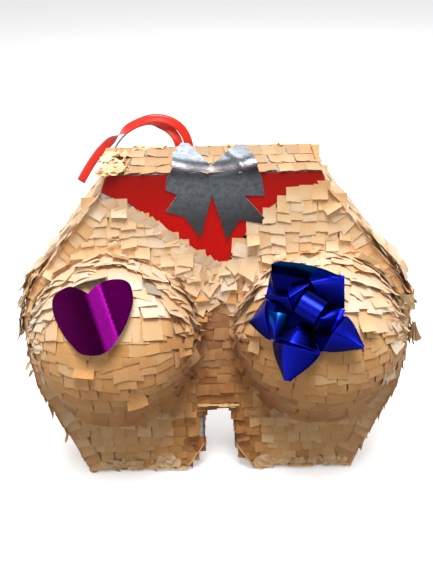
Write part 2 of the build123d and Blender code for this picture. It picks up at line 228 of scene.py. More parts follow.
# %% Shared effect: creased paper
def creased_paper():
    """Soft creases, fine fibre and slow colour drift, for paper of any kind."""
    tree, entry, leave = new_group(
        "creased_paper",
        [("Crease Scale", 90.0), ("Fibre Scale", 900.0), ("Crease Share", 0.6)],
        ["Height", "Drift", "Crease"],
    )
    place = object_place(tree)
    bend = tree.nodes.new("ShaderNodeVectorMath")
    bend.operation = "MULTIPLY_ADD"
    wire(tree, noise(tree, place, 60.0, output="Color"), bend.inputs[0])
    bend.inputs[1].default_value = (0.012, 0.012, 0.012)
    wire(tree, place, bend.inputs[2])
    folds = tree.nodes.new("ShaderNodeTexVoronoi")
    folds.feature = "DISTANCE_TO_EDGE"
    wire(tree, bend.outputs[0], folds.inputs["Vector"])
    wire(tree, entry.outputs["Crease Scale"], folds.inputs["Scale"])
    ramp = tree.nodes.new("ShaderNodeMapRange")
    ramp.inputs["From Max"].default_value = 0.12
    wire(tree, folds.outputs["Distance"], ramp.inputs["Value"])
    fibre = noise(tree, place, entry.outputs["Fibre Scale"], detail=3.0)
    share = maths(tree, "MULTIPLY", ramp.outputs[0], entry.outputs["Crease Share"])
    height = maths(tree, "ADD", share, maths(tree, "MULTIPLY", fibre, 0.5))
    wire(tree, height, leave.inputs["Height"])
    wire(tree, noise(tree, place, 28.0), leave.inputs["Drift"])
    wire(tree, maths(tree, "SUBTRACT", 1.0, ramp.outputs[0]), leave.inputs["Crease"])
    return tree


# %% Shared effect: rubbed foil
def rubbed_foil():
    """Fine brushed lines, slow dents and dull rubbed patches, for foil card and foil ribbon."""
    tree, entry, leave = new_group(
        "rubbed_foil",
        [("Brush Scale", 500.0), ("Stretch", 12.0), ("Dent Scale", 30.0)],
        ["Brush", "Dents", "Rub"],
    )
    place = object_place(tree)
    stretch = tree.nodes.new("ShaderNodeCombineXYZ")
    stretch.inputs["X"].default_value = 1.0
    stretch.inputs["Y"].default_value = 1.0
    wire(tree, entry.outputs["Stretch"], stretch.inputs["Z"])
    scaled = tree.nodes.new("ShaderNodeVectorMath")
    scaled.operation = "MULTIPLY"
    wire(tree, place, scaled.inputs[0])
    wire(tree, stretch.outputs[0], scaled.inputs[1])
    brush = noise(tree, scaled.outputs[0], entry.outputs["Brush Scale"], detail=4.0)
    dents = noise(tree, place, entry.outputs["Dent Scale"], detail=1.0)
    wire(tree, brush, leave.inputs["Brush"])
    wire(tree, dents, leave.inputs["Dents"])
    wire(tree, noise(tree, place, 220.0, detail=5.0, grit=0.7), leave.inputs["Rub"])
    return tree


CREASED_PAPER = creased_paper()
RUBBED_FOIL = rubbed_foil()
print("shared effects", CREASED_PAPER.name, RUBBED_FOIL.name)


# %% A material to start from
def new_material(name, rough, metal=0.0, sheen=0.0, coat=0.0):
    """A material whose Principled shader stays in it, with its constants on its own sockets."""
    material = bpy.data.materials.new(name)
    material.use_nodes = True
    shader = material.node_tree.nodes["Principled BSDF"]
    shader.inputs["Roughness"].default_value = rough
    shader.inputs["Metallic"].default_value = metal
    shader.inputs["Sheen Weight"].default_value = sheen
    shader.inputs["Coat Weight"].default_value = coat
    shader.inputs["Coat Roughness"].default_value = 0.12
    return material, material.node_tree, shader


def add_group(tree, group, **values):
    """A shared effect placed in a material with its own values."""
    node = tree.nodes.new("ShaderNodeGroup")
    node.node_tree = group
    for label, value in values.items():
        node.inputs[label.replace("_", " ")].default_value = value
    return node


def mix(tree, mask, first, second):
    """A colour between two others; each is a colour or a socket."""
    node = tree.nodes.new("ShaderNodeMix")
    node.data_type = "RGBA"
    for label, value in (("Factor", mask), ("A", first), ("B", second)):
        feed(tree, value, next(s for s in node.inputs if s.name == label and s.enabled))
    return next(s for s in node.outputs if s.enabled)


def spread(tree, value, low, high, new_low, new_high):
    """A Map Range node from one span to another, clamped."""
    node = tree.nodes.new("ShaderNodeMapRange")
    wire(tree, value, node.inputs["Value"])
    spans = {"From Min": low, "From Max": high, "To Min": new_low, "To Max": new_high}
    for label, number in spans.items():
        node.inputs[label].default_value = number
    return node.outputs[0]


def tinted(tree, base, mask, span, tone):
    """A base colour that takes on a tone as a mask runs over a span: low, high, least and most."""
    return mix(tree, spread(tree, mask, *span), base, tone)


def read(tree, mark):
    """A point attribute of the mesh."""
    node = tree.nodes.new("ShaderNodeAttribute")
    node.attribute_name = mark
    return node.outputs["Fac"]


def bump(tree, shader, height, distance, strength=1.0):
    """A Bump node that feeds the shader's normal."""
    node = tree.nodes.new("ShaderNodeBump")
    node.inputs["Distance"].default_value = distance
    node.inputs["Strength"].default_value = strength
    wire(tree, height, node.inputs["Height"])
    wire(tree, node.outputs["Normal"], shader.inputs["Normal"])


# %% [markdown]
# ## Tissue
#
# Peach tissue is thin. One layer is nearly cream where it stands free, and gets deeper and more
# orange where layers lie on each other. Four marks on the mesh carry the colour: how far down its
# square a point is (edge), which also paints shade from the square above near the pasted end; the
# square's own tone (tint); how warm and deep the colour is in that area, which is partly the
# paper's tone and partly painted shade, deeper low on the domes, between them and at their inner
# ends, and painted paler on the domes' tops where the light falls; and how much of the grey
# newsprint shows through (thin). The underside of a raised square is painted a pale yellow, a
# painted glow of light through thin paper.

# %% Tissue material
def peach_tissue():
    """Thin peach paper, shaded by the four marks of its mesh."""
    material, tree, shader = new_material("peach_tissue", rough=0.72, sheen=0.15)
    paper = add_group(tree, CREASED_PAPER, Crease_Scale=95.0, Fibre_Scale=700.0, Crease_Share=0.30)
    depth = tree.nodes.new("ShaderNodeValToRGB")
    stops = depth.color_ramp.elements
    stops[0].color = colour(0.955, 0.885, 0.795)
    stops[1].color = colour(0.620, 0.375, 0.125)
    for place, tone in ((0.32, colour(0.935, 0.785, 0.585)), (0.66, colour(0.835, 0.605, 0.350))):
        stops.new(place).color = tone
    # Partly painted shade: this mark runs the tissue from cream to deep orange-brown, partly the paper's tone
    # and partly shade.
    warmth_and_shade = read(tree, "warmth_and_shade")
    wire(tree, warmth_and_shade, depth.inputs["Fac"])
    fresh = spread(tree, warmth_and_shade, 0.0, 0.6, 0.60, 0.12)
    pale = maths(tree, "MULTIPLY", spread(tree, read(tree, "tint"), 0.0, 1.0, 1.0, 0.0), fresh)
    paler = mix(tree, pale, depth.outputs["Color"], colour(0.97, 0.905, 0.820))
    # Painted shade, partly real: near its pasted end a square is deeper orange where layers overlap and where
    # the square above shades it.
    root = tinted(tree, paler, read(tree, "edge"), (0.0, 0.75, 0.55, 0.0), colour(0.880, 0.630, 0.370))
    drift = tinted(tree, root, paper.outputs["Drift"], (0.50, 0.72, 0.0, 0.40), colour(0.940, 0.730, 0.430))
    folded = tinted(tree, drift, paper.outputs["Crease"], (0.4, 1.0, 0.0, 0.03), colour(0.99, 0.93, 0.84))
    thin = mix(tree, read(tree, "thin"), folded, colour(0.46, 0.45, 0.41))
    # Painted light: the back of a sheet is painted paler yellow, as a glow of light through thin paper.
    side_seen = tree.nodes.new("ShaderNodeNewGeometry")
    under_side = maths(tree, "MULTIPLY", side_seen.outputs["Backfacing"], 0.45)
    painted_backlight_glow = mix(tree, under_side, thin, colour(1.0, 0.90, 0.66))
    wire(tree, painted_backlight_glow, shader.inputs["Base Color"])
    bump(tree, shader, paper.outputs["Height"], 0.0006, 0.55)
    return material


TISSUE = peach_tissue()
print("tissue material with", len(TISSUE.node_tree.nodes), "nodes")

# %% [markdown]
# ## One square of tissue
#
# A strip of tissue is pasted along its upper edge and cut into squares that hang free. So a square
# is a small grid that leaves the surface at a slope, bends further towards its free end, cups a
# little across, and turns a few degrees. Its slopes are added up step by step, so a square that
# curls keeps its real length. A short uncut header lies under each square and closes the gaps.

# %% Tissue squares
MARKS = ("tint", "edge", "warmth_and_shade", "thin")
SQUARE_ROWS = 6
SQUARE_COLUMNS = 5
HEADER_ABOVE = 3.5
HEADER_BELOW = 7.5
DOWN = np.linspace(0.0, 1.0, SQUARE_ROWS)[:, None]
ACROSS = np.linspace(-0.5, 0.5, SQUARE_COLUMNS)[None, :]
SQUARE_FACES = np.array(grid_faces(SQUARE_ROWS, SQUARE_COLUMNS))
HEADER_FACES = np.array([(0, 1, 3, 2)])


def new_heap():
    """What one tissue piece is gathered in, before its mesh is made."""
    return {"faces": [], "count": 0, "squares": 0, **{kind: [] for kind in ("points", *MARKS)}}


def outward(points, faces, normals):
    """The same faces, turned over if they would look into the surface."""
    first, second, third = (points[faces[:, k]] for k in range(3))
    lean = (np.cross(second - first, third - second) * normals[faces[:, 0]]).sum()
    return faces if lean >= 0 else faces[:, ::-1]


def add_to_heap(heap, points, faces, edge, tint, warmth_and_shade, thin=0.0):
    """Adds one small sheet and its four marks to a heap."""
    heap["points"].append(points)
    heap["faces"].append(faces + heap["count"])
    for mark, value in zip(MARKS, (tint, edge, warmth_and_shade, thin)):
        heap[mark].append(np.broadcast_to(value, (len(points),)))
    heap["count"] += len(points)


def join_heap(heap, part):
    """Adds all of another heap to a heap."""
    for kind in ("points", *MARKS):
        heap[kind] += part[kind]
    heap["faces"] += [faces + heap["count"] for faces in part["faces"]]
    for kind in ("count", "squares"):
        heap[kind] += part[kind]


def add_square(
    heap, surface, u, v, width, length, rng, lift, curl, base=0.6, turn=None, warmth_and_shade=0.2, tint=None,
    soft=0.0, thin=0.0, header=True,
):
    """One square, pasted at (u, v) on a surface and hanging towards larger v."""
    angle = lift + curl * DOWN**1.7
    step = length / (SQUARE_ROWS - 1)
    run = np.vstack([[0.0], np.cumsum(np.cos(angle[1:]))[:, None] * step])
    rise = np.vstack([[0.0], np.cumsum(np.sin(angle[1:]))[:, None] * step])
    taper = 1.0 + rng.normal(0.0, 0.05) * DOWN
    side = ACROSS * width * taper
    cup = rng.normal(0.0, 0.45 + soft)
    twist = rng.normal(0.0, 0.8 + soft)
    height = base + rise + cup * 4 * ACROSS**2 * DOWN + twist * ACROSS * DOWN
    height = np.maximum(height + rng.normal(0.0, 0.10, height.shape) * DOWN, base * 0.7)
    turned = rng.normal(0.0, radians(2.6)) if turn is None else turn
    slant = rng.normal(0.0, 0.06) * ACROSS * 2
    flat_run = run * (1.0 + slant) + rng.normal(0.0, 0.12, height.shape) * DOWN
    across = side * cos(turned) + flat_run * sin(turned)
    down = -side * sin(turned) + flat_run * cos(turned)
    points, normals = surface((u + across).ravel(), (v + down).ravel())
    shade = rng.beta(1.6, 2.0) if tint is None else tint
    warmth_and_shade = float(np.clip(warmth_and_shade, 0, 1))
    edge = ((DOWN if header else 0.55 + 0.45 * DOWN) + 0.0 * ACROSS).ravel()
    placed = points + normals * height.ravel()[:, None]
    add_to_heap(heap, placed, outward(placed, SQUARE_FACES, normals), edge, shade, warmth_and_shade, thin)
    if header:
        head_u = u + np.array([-0.5, 0.5, -0.5, 0.5]) * (width + 2.0)
        head_v = v + np.array([-HEADER_ABOVE, -HEADER_ABOVE, HEADER_BELOW, HEADER_BELOW])
        points, normals = surface(head_u, head_v)
        placed = points + normals * base * 0.6
        # The header lies under the squares, so it is painted deep: partly overlap, partly painted shade.
        add_to_heap(heap, placed, outward(placed, HEADER_FACES, normals), 0.25, shade, warmth_and_shade)
    heap["squares"] += 1


def add_loose(heap, surface, u, v, rng, warmth_and_shade, stand=3.0, spread_turn=0.55, size=(12.5, 18.0)):
    """A square pasted on last, by its middle or a corner, so it sits askew on top of the rows."""
    lift = radians(rng.uniform(2.0, 13.0))
    curl = radians(rng.uniform(-6.0, 22.0))
    add_square(
        heap, surface, u, v, rng.uniform(*size), rng.uniform(*size), rng, lift, curl,
        base=stand * rng.uniform(0.7, 1.1), turn=rng.normal(0.0, spread_turn), warmth_and_shade=warmth_and_shade,
        tint=float(rng.uniform(0.0, 0.7)), soft=1.2, header=False,
    )


# %% [markdown]
# Here and there a square is crushed into a loose bit that stands off the rest. A loose bit is a
# small grid pushed about by a few slow waves, so it folds like paper and doesn't look like noise.

# %% Crushed bits
def add_scrap(heap, surface, u, v, size, rng, base=1.5, rough=0.24, warmth_and_shade=0.3):
    """A crushed square at (u, v); rough is how far its waves push it, as a share of its size."""
    rows = 7
    down, across = np.meshgrid(np.linspace(-0.5, 0.5, rows), np.linspace(-0.5, 0.5, rows), indexing="ij")
    moved = []
    for _ in range(3):
        wave = np.zeros_like(down)
        for _ in range(3):
            push = rng.normal(0.0, 5.5, 2)
            wave += np.sin(push[0] * down + push[1] * across + rng.uniform(0, 2 * pi))
        moved.append(wave * rough * size / 2.2)
    turn = rng.uniform(0, 2 * pi)
    flat_u = across * size * rng.uniform(0.7, 1.2) + moved[0] * 0.6
    flat_v = down * size * rng.uniform(0.7, 1.2) + moved[1] * 0.6
    turned_u = flat_u * cos(turn) - flat_v * sin(turn)
    turned_v = flat_u * sin(turn) + flat_v * cos(turn)
    height = base + moved[2] - moved[2].min() * 0.7
    points, normals = surface((u + turned_u).ravel(), (v + turned_v).ravel())
    faces = np.array(grid_faces(rows, rows))
    # Painted light and shade: the higher parts of a crushed bit are painted paler and its low parts deeper.
    edge = np.clip(rng.uniform(0.2, 0.9) + 0.3 * moved[2].ravel() / size * 4, 0.0, 1.0)
    high = np.clip(height.ravel(), 0.3, 9.0)
    placed = points + normals * high[:, None]
    add_to_heap(heap, placed, outward(placed, faces, normals), edge, rng.uniform(0, 0.8), warmth_and_shade)


FLOOR_GAP = 0.15


def tissue_piece(name, heap, node, body="pinata"):
    """The mesh of one tissue piece, which stands for its CAD node."""
    points = np.vstack(heap["points"])
    points[:, 2] = np.maximum(points[:, 2], FLOOR_GAP - CARD_LOW)
    marks = {mark: np.concatenate(heap[mark]) for mark in MARKS}
    piece = make_mesh(name, points, np.vstack(heap["faces"]).tolist(), [TISSUE], marks)
    stand_for(piece, node, body)
    print(name, heap["squares"], "squares,", len(piece.data.polygons), "faces")


# %% [markdown]
# ## The surfaces that tissue is pasted on
#
# Every row is laid on a surface that is described by two lengths in millimetres: u along the row,
# and v down towards the free ends. Each surface gives back points and the directions that point
# out of the box. The outline comes from the front card's own mesh, so it follows the frame.

# %% The card's outline
def outline_of(node):
    """The outline of a flat piece's front face, in order, in card millimetres: X and Z."""
    mesh = frame["nodes"][node].data
    spots = np.array([vertex.co[:] for vertex in mesh.vertices]) / MM - SHIFT
    keys = [tuple(np.round(spot[[0, 2]], 2)) for spot in spots]
    used = {}
    for face in mesh.polygons:
        if face.normal.y > -0.9:
            continue
        for first, second in face.edge_keys:
            edge = tuple(sorted((keys[first], keys[second])))
            used[edge] = used.get(edge, 0) + 1
    near = {}
    for (first, second), count in used.items():
        if count == 1:
            near.setdefault(first, []).append(second)
            near.setdefault(second, []).append(first)
    start = max(near, key=lambda key: key[0] + key[1])
    loop = [start]
    before = None
    while True:
        onward = [key for key in near[loop[-1]] if key != before]
        before = loop[-1]
        if not onward or onward[0] == start:
            break
        loop.append(onward[0])
    return np.array(loop)


outline = outline_of("front_panel")
following = np.roll(outline, -1, axis=0)
area = 0.5 * np.sum(outline[:, 0] * following[:, 1] - outline[:, 1] * following[:, 0])
if area > 0:
    outline = outline[::-1]
print("outline", len(outline), "points,", round(abs(area) / 100), "square cm")


def distance_inside(x, z, loop=outline):
    """How far a point is inside the outline, in millimetres; less than zero is outside."""
    start = loop
    end = np.roll(loop, -1, axis=0)
    run = end - start
    offset = np.array([x, z]) - start
    share = np.clip((offset * run).sum(1) / np.maximum((run * run).sum(1), 1e-9), 0, 1)
    gap = np.linalg.norm(offset - share[:, None] * run, axis=1).min()
    above = (start[:, 1] > z) != (end[:, 1] > z)
    with np.errstate(divide="ignore", invalid="ignore"):
        cut = start[:, 0] + (z - start[:, 1]) / (end[:, 1] - start[:, 1]) * run[:, 0]
    crossings = np.count_nonzero(above & (x < cut))
    return gap if crossings % 2 else -gap


# %% Paths round the outline
def nearest(x, z):
    """The outline's point that is nearest to a place."""
    return int(np.argmin(np.hypot(outline[:, 0] - x, outline[:, 1] - z)))


def path_between(start, end):
    """The outline's points from one corner to another, the shorter way round."""
    first = nearest(*start)
    last = nearest(*end)
    count = len(outline)
    forward = [(first + k) % count for k in range((last - first) % count + 1)]
    backward = [(first - k) % count for k in range((first - last) % count + 1)]
    runs = [outline[order] for order in (forward, backward)]
    lengths = [np.linalg.norm(np.diff(run, axis=0), axis=1).sum() for run in runs]
    return runs[int(np.argmin(lengths))]


PATH_STEP = 2.0


def lengths_along(path):
    """How far along a path each of its points is."""
    return np.concatenate([[0.0], np.cumsum(np.linalg.norm(np.diff(path, axis=0), axis=1))])


def dense(path):
    """A path with its points two millimetres apart."""
    along = lengths_along(path)
    even = np.arange(0.0, along[-1], PATH_STEP)
    return np.stack([np.interp(even, along, path[:, k]) for k in (0, 1)], -1)


def follow(path, half_window):
    """For a dense path: a function from v to the place and the smoothed direction there, and its end."""
    window = 2 * half_window + 1
    run = unit(np.gradient(path, axis=0))
    padded = [np.pad(run[:, k], half_window, "edge") for k in (0, 1)]
    soft = unit(np.stack([np.convolve(line, np.ones(window) / window, "valid") for line in padded], -1))
    along = PATH_STEP * np.arange(len(path))

    def at(v):
        inner = np.clip(v, 0.0, along[-1])
        run_x = np.interp(inner, along, soft[:, 0])
        run_z = np.interp(inner, along, soft[:, 1])
        x = np.interp(inner, along, path[:, 0]) + (v - inner) * run_x
        z = np.interp(inner, along, path[:, 1]) + (v - inner) * run_z
        return x, z, run_x, run_z

    return at, along[-1]


feet = sorted(outline[outline[:, 1] < 0.5][:, 0])
foot_outer, foot_inner = feet[-1], min(x for x in feet if x > 0)
top_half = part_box("top_strip")[1].x / MM
side_points = np.array([p for p in outline if p[0] > 0])
gap_top = side_points[(side_points[:, 0] < foot_inner) & (side_points[:, 1] > 40)][0]
print("feet from", round(foot_inner), "to", round(foot_outer), "gap top", np.round(gap_top, 1))


# %% Flat faces, edges and domes
PAPER = CARD_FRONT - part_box("front_newsprint")[0].y / MM


def on_front(u, v):
    """The front face: u is X, and v runs down from the card's top."""
    points = np.stack([u, np.full_like(u, -PAPER), CARD_TOP - v], -1)
    return points, np.broadcast_to([0.0, -1.0, 0.0], points.shape)


def on_back(u, v):
    """The back face, measured like the front."""
    points = np.stack([u, np.full_like(u, CARD_DEPTH + PAPER), CARD_TOP - v], -1)
    return points, np.broadcast_to([0.0, 1.0, 0.0], points.shape)


def on_top(u, v):
    """The top edge: u is X, and v runs from the back to the front."""
    points = np.stack([u, CARD_DEPTH - v, np.full_like(u, CARD_TOP + PAPER)], -1)
    return points, np.broadcast_to([0.0, 0.0, 1.0], points.shape)


def on_path(path):
    """A surface that runs down a path in X and Z and across the box's depth; u is the depth."""
    at, end = follow(dense(path), 4)
    middle_x, middle_z, run_x, run_z = at(end / 2)
    probe = (middle_x - 1.5 * run_z, middle_z + 1.5 * run_x)
    out_sign = -1.0 if distance_inside(*probe) > 0 else 1.0

    def surface(u, v):
        x, z, run_x, run_z = at(v)
        normals = unit(np.stack([-run_z, 0.0 * run_x, run_x], -1)) * out_sign
        return np.stack([x, u, z], -1) + normals * PAPER, normals

    return surface, lengths_along(path)[-1]


def on_dome(side):
    """A half ball: v runs over it from the top to the bottom, and u along its rows."""
    low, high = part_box("left_dome" if side < 0 else "right_dome")
    radius = (high.x - low.x) / 2 / MM
    centre = np.array([(low.x + high.x) / 2 / MM, high.y / MM, (low.z + high.z) / 2 / MM]) - SHIFT

    def surface(u, v):
        down = pi / 2 - v / radius
        across = u / radius
        over = np.stack([np.sin(across), -np.cos(across) * np.cos(down), np.cos(across) * np.sin(down)], -1)
        round_it = across / np.maximum(np.cos(down), 0.30)
        rise = down * (1 - 0.25 * (1 - np.cos(np.clip(round_it, -pi, pi))))
        level = [np.cos(rise) * np.sin(round_it), -np.cos(rise) * np.cos(round_it), np.sin(rise)]
        normals = np.where((down > 0)[..., None], over, np.stack(level, -1))
        return centre + normals * radius, normals

    return surface, radius, centre


left_dome, DOME_RADIUS, left_centre = on_dome(-1)
right_dome, _, right_centre = on_dome(1)
print("dome radius", round(DOME_RADIUS, 1), "centres", np.round([left_centre, right_centre], 1).tolist())


def from_dome(x, z):
    """How far a place on the front is from the middle of the nearer dome."""
    return min(np.hypot(x - middle[0], z - middle[2]) for middle in (left_centre, right_centre))


# %% [markdown]
# ## Where the red paper ends
#
# The tissue stops at the lower edge of the red V, so that line is needed before the front's rows
# are laid. It is cut by hand on the real thing, and isn't quite straight.

# %% The red V's lower edge
RED_EDGE = np.array(
    [(-107, 319), (-84, 309), (-50, 284), (-12, 253), (9, 241)]
    + [(20, 260), (31, 277), (48, 298), (72, 314), (106, 322)],
    dtype=float,
)


def red_edge(x):
    """The height of the V's lower edge at x."""
    return np.interp(x, RED_EDGE[:, 0], RED_EDGE[:, 1])


# %% [markdown]
# ## Rows on the front
#
# Rows are pasted from the bottom up, so each one hangs over the one below. They sag and drift a
# little, the squares differ in width and length, and about one in fifteen curls right up. The
# colour is warmer low down, and deeper between the domes as painted shade. Last come loose
# squares, pasted askew between the domes, and crushed bits beside the domes and round the soles.

# %% Row helpers
def slow_wave(rng, size):
    """A slow wander along a row, in millimetres."""
    first, second = rng.uniform(0, 2 * pi, 2)
    return lambda t: size * (np.sin(t / 47.0 + first) + 0.5 * np.sin(t / 19.0 + second))


def square_bend(rng, calm=1.0):
    """How a square leaves the surface and bends; some curl right up."""
    lift = radians(rng.uniform(2.0, 6.0))
    curl = radians(rng.gamma(2.0, 4.0)) * calm
    if rng.random() < 0.07 * calm:
        curl = radians(rng.uniform(30.0, 75.0))
    if rng.random() < 0.12:
        curl = -lift * 0.8
    return lift, curl


def low_warmth(z):
    """The paper is deeper in colour low down."""
    return 0.32 + 0.24 * np.clip((150.0 - z) / 150.0, 0.0, 1.0)


def front_warmth_and_shade(x, z):
    """On the front it is also deeper between the domes, as painted shade."""
    middle = np.clip(1.25 - abs(x) / 48.0, 0.0, 1.0) * np.clip((245.0 - z) / 60.0, 0.0, 1.0)
    return low_warmth(z) + 0.66 * middle


ROW_STEP = 10.6
SWEEP = 205.0
SQUARE_MIDDLE = 8.0


def laid_spots(rng, first, sway, widths, drift):
    """The spots of a flat face's squares, from the bottom row up: x, v and width."""
    for row in range(int((CARD_TOP + 6) / ROW_STEP), -1, -1):
        v_row = row * ROW_STEP + first
        wave = slow_wave(rng, sway)
        x = -SWEEP + rng.uniform(0, 9)
        while x < SWEEP:
            width = rng.uniform(*widths)
            yield x, v_row + wave(x) + rng.normal(0, drift), width
            x += width


# %% Band along the outline
side_paths = {s: dense(path_between((s * top_half, CARD_TOP), (s * foot_outer, 0.0))) for s in (-1, 1)}
all_sides = np.vstack([side_paths[-1], side_paths[1]])
BAND_TOP = 300.0
BAND_WIDTH = 10.5
BAND_START = 8.0
BAND_END = 19.0
print("side paths of", len(side_paths[-1]), "and", len(side_paths[1]), "points")


def side_gap(x, z):
    """How far a point is from the outline of either side."""
    return np.hypot(all_sides[:, 0] - x, all_sides[:, 1] - z).min()


def on_band(side, y=-PAPER, facing=-1.0):
    """The front or back face along one side: v runs down the outline, and u is how far inside it."""
    at, end = follow(side_paths[side], 7)

    def surface(u, v):
        x, z, run_x, run_z = at(v)
        inward = side * u
        points = np.stack([x + inward * run_z, np.full_like(x, y), z - inward * run_x], -1)
        return points, np.broadcast_to([0.0, facing, 0.0], points.shape)

    return surface, end


def in_band(x, z):
    """True where the squares that follow the outline lie."""
    return z < BAND_TOP and side_gap(x, z) < BAND_WIDTH


# %% Front tissue
front_rng = np.random.default_rng(11)
front_heap = new_heap()
for x, v, width in laid_spots(front_rng, 4.0, 1.1, (11.5, 15.0), 0.7):
    z = CARD_TOP - v - SQUARE_MIDDLE
    clear = distance_inside(x, z) > -1.0 and from_dome(x, z) > DOME_RADIUS - 5 and not in_band(x, z)
    red_low = max(red_edge(x), red_edge(x + 6.0) if x > 4.0 else 0.0)
    over_red = 7.0 if x > 55.0 else 2.5
    if clear and CARD_TOP - v < red_low + over_red:
        lift, curl = square_bend(front_rng)
        warmth_and_shade = front_warmth_and_shade(x, z) + front_rng.normal(0, 0.08)
        add_square(
            front_heap, on_front, x, v, width + 0.4, front_rng.uniform(13.5, 17.0), front_rng,
            lift, curl, base=1.2, warmth_and_shade=warmth_and_shade, tint=front_rng.uniform(0.72, 1.0) if z < 130.0 else None,
        )
print("front rows:", front_heap["squares"], "squares")

# %% [markdown]
# Down both sides a single strip follows the outline, and its squares turn with it. Along the V's
# left edge the squares were pasted the other way, with their free ends up over the red paper. They
# use the same square, turned by half a turn and by the slope of the edge.

# %% Squares along the sides
for side in (-1, 1):
    surface, length = on_band(side)
    v = length - BAND_START
    while v > BAND_END:
        spots, _ = surface(np.array([7.0]), np.array([v + 6.0]))
        x, z = spots[0][0], spots[0][2]
        centre = left_centre if side < 0 else right_centre
        if np.hypot(x - centre[0], z - centre[2]) > DOME_RADIUS - 4:
            lift, curl = square_bend(front_rng, 0.6)
            warmth_and_shade = front_warmth_and_shade(x, z) + front_rng.normal(0.02, 0.08)
            add_square(
                front_heap, surface, front_rng.uniform(6.0, 7.0), v, front_rng.uniform(14.5, 17.0),
                front_rng.uniform(14.0, 18.0), front_rng, lift, curl, base=1.8, warmth_and_shade=warmth_and_shade,
            )
        v -= front_rng.uniform(10.0, 12.5)
print("with both sides:", front_heap["squares"], "squares")

# %% Squares over the red edge
RED_RUNS = [((-98, 313), (-52, 286), 5), ((-50, 284), (-14, 254), 4), ((-12, 252), (8, 240), 3)]
for start, end, count in RED_RUNS:
    slope = atan2(end[1] - start[1], end[0] - start[0])
    for place in range(count):
        share = (place + 0.5) / count
        x = start[0] + share * (end[0] - start[0])
        z = start[1] + share * (end[1] - start[1])
        upward = pi - slope + front_rng.normal(0, 0.08)
        add_square(
            front_heap, on_front, x + 5 * sin(slope), CARD_TOP - z + 6, 12.4,
            front_rng.uniform(9.5, 13.0), front_rng, radians(5), radians(8), base=2.1,
            turn=upward, warmth_and_shade=0.12,
        )

# %% Crushed bits and loose squares on the front
BITS_BESIDE_DOMES = 34
LOOSE_BETWEEN_DOMES = 46
BITS_ON_SOLE = 16
for _ in range(BITS_BESIDE_DOMES):
    x = front_rng.uniform(-165, 165)
    z = front_rng.uniform(30, 300)
    beside_dome = DOME_RADIUS < from_dome(x, z) < DOME_RADIUS + 34
    if distance_inside(x, z) > 6 and z < red_edge(x) - 8 and beside_dome:
        size = front_rng.uniform(10, 17)
        add_scrap(front_heap, on_front, x, CARD_TOP - z, size, front_rng, warmth_and_shade=front_warmth_and_shade(x, z))
for _ in range(LOOSE_BETWEEN_DOMES):
    x = front_rng.uniform(-40, 40)
    z = front_rng.uniform(200, 272)
    if z < red_edge(x) - 4:
        warmth_and_shade = front_rng.uniform(0.05, 0.4)
        add_loose(front_heap, on_front, x, CARD_TOP - z, front_rng, warmth_and_shade, spread_turn=0.4)
for side in (-1, 1):
    for _ in range(BITS_ON_SOLE):
        x = side * front_rng.uniform(foot_inner + 4, foot_outer - 4)
        add_scrap(
            front_heap, on_front, x, CARD_TOP - front_rng.uniform(3, 8), front_rng.uniform(10, 15), front_rng,
            base=2.6, rough=0.13, warmth_and_shade=0.34,
        )
tissue_piece("tissue_front", front_heap, "front_tissue")

# %% [markdown]
# ## Rows on the domes
#
# A strip of tissue laid over the top of a ball runs together at its two ends, as lines of longitude
# do at a pole, so above the middle each row is half a great circle. Below the middle the rows were
# pasted almost level. Where rows meet, some are left out, as a maker would, and near the top every
# second row is enough, with longer squares. Low down, one band of squares stands well off the
# ball. Under the heart and the bow the squares are pressed flat, and at a few thin spots the grey
# newsprint shows through. Loose squares and crushed bits cover the rows' ends and the top.

# %% Dome tissue
def pressed_under(surface, u, v, spots):
    """True where the heart or the bow lies on the squares."""
    points, _ = surface(np.array([u]), np.array([v + 8.0]))
    return any(np.linalg.norm(points[0] - spot) < reach for spot, reach in spots)


DOME_ROWS = 22
ROW_REACH = radians(86.0)
LONG_ABOVE = radians(40.0)
RAISED_BAND = (0.72, 0.93)
SHOWS_THROUGH = 0.62
LOOSE_ON_DOME = 110


def rows_used(room, long_rows):
    """One row in how many is laid, where rows have this share of their full spacing."""
    every = 1 if room > 0.70 else 2 if room > 0.45 else 4 if room > 0.22 else 8
    return max(every, 2) if long_rows else every


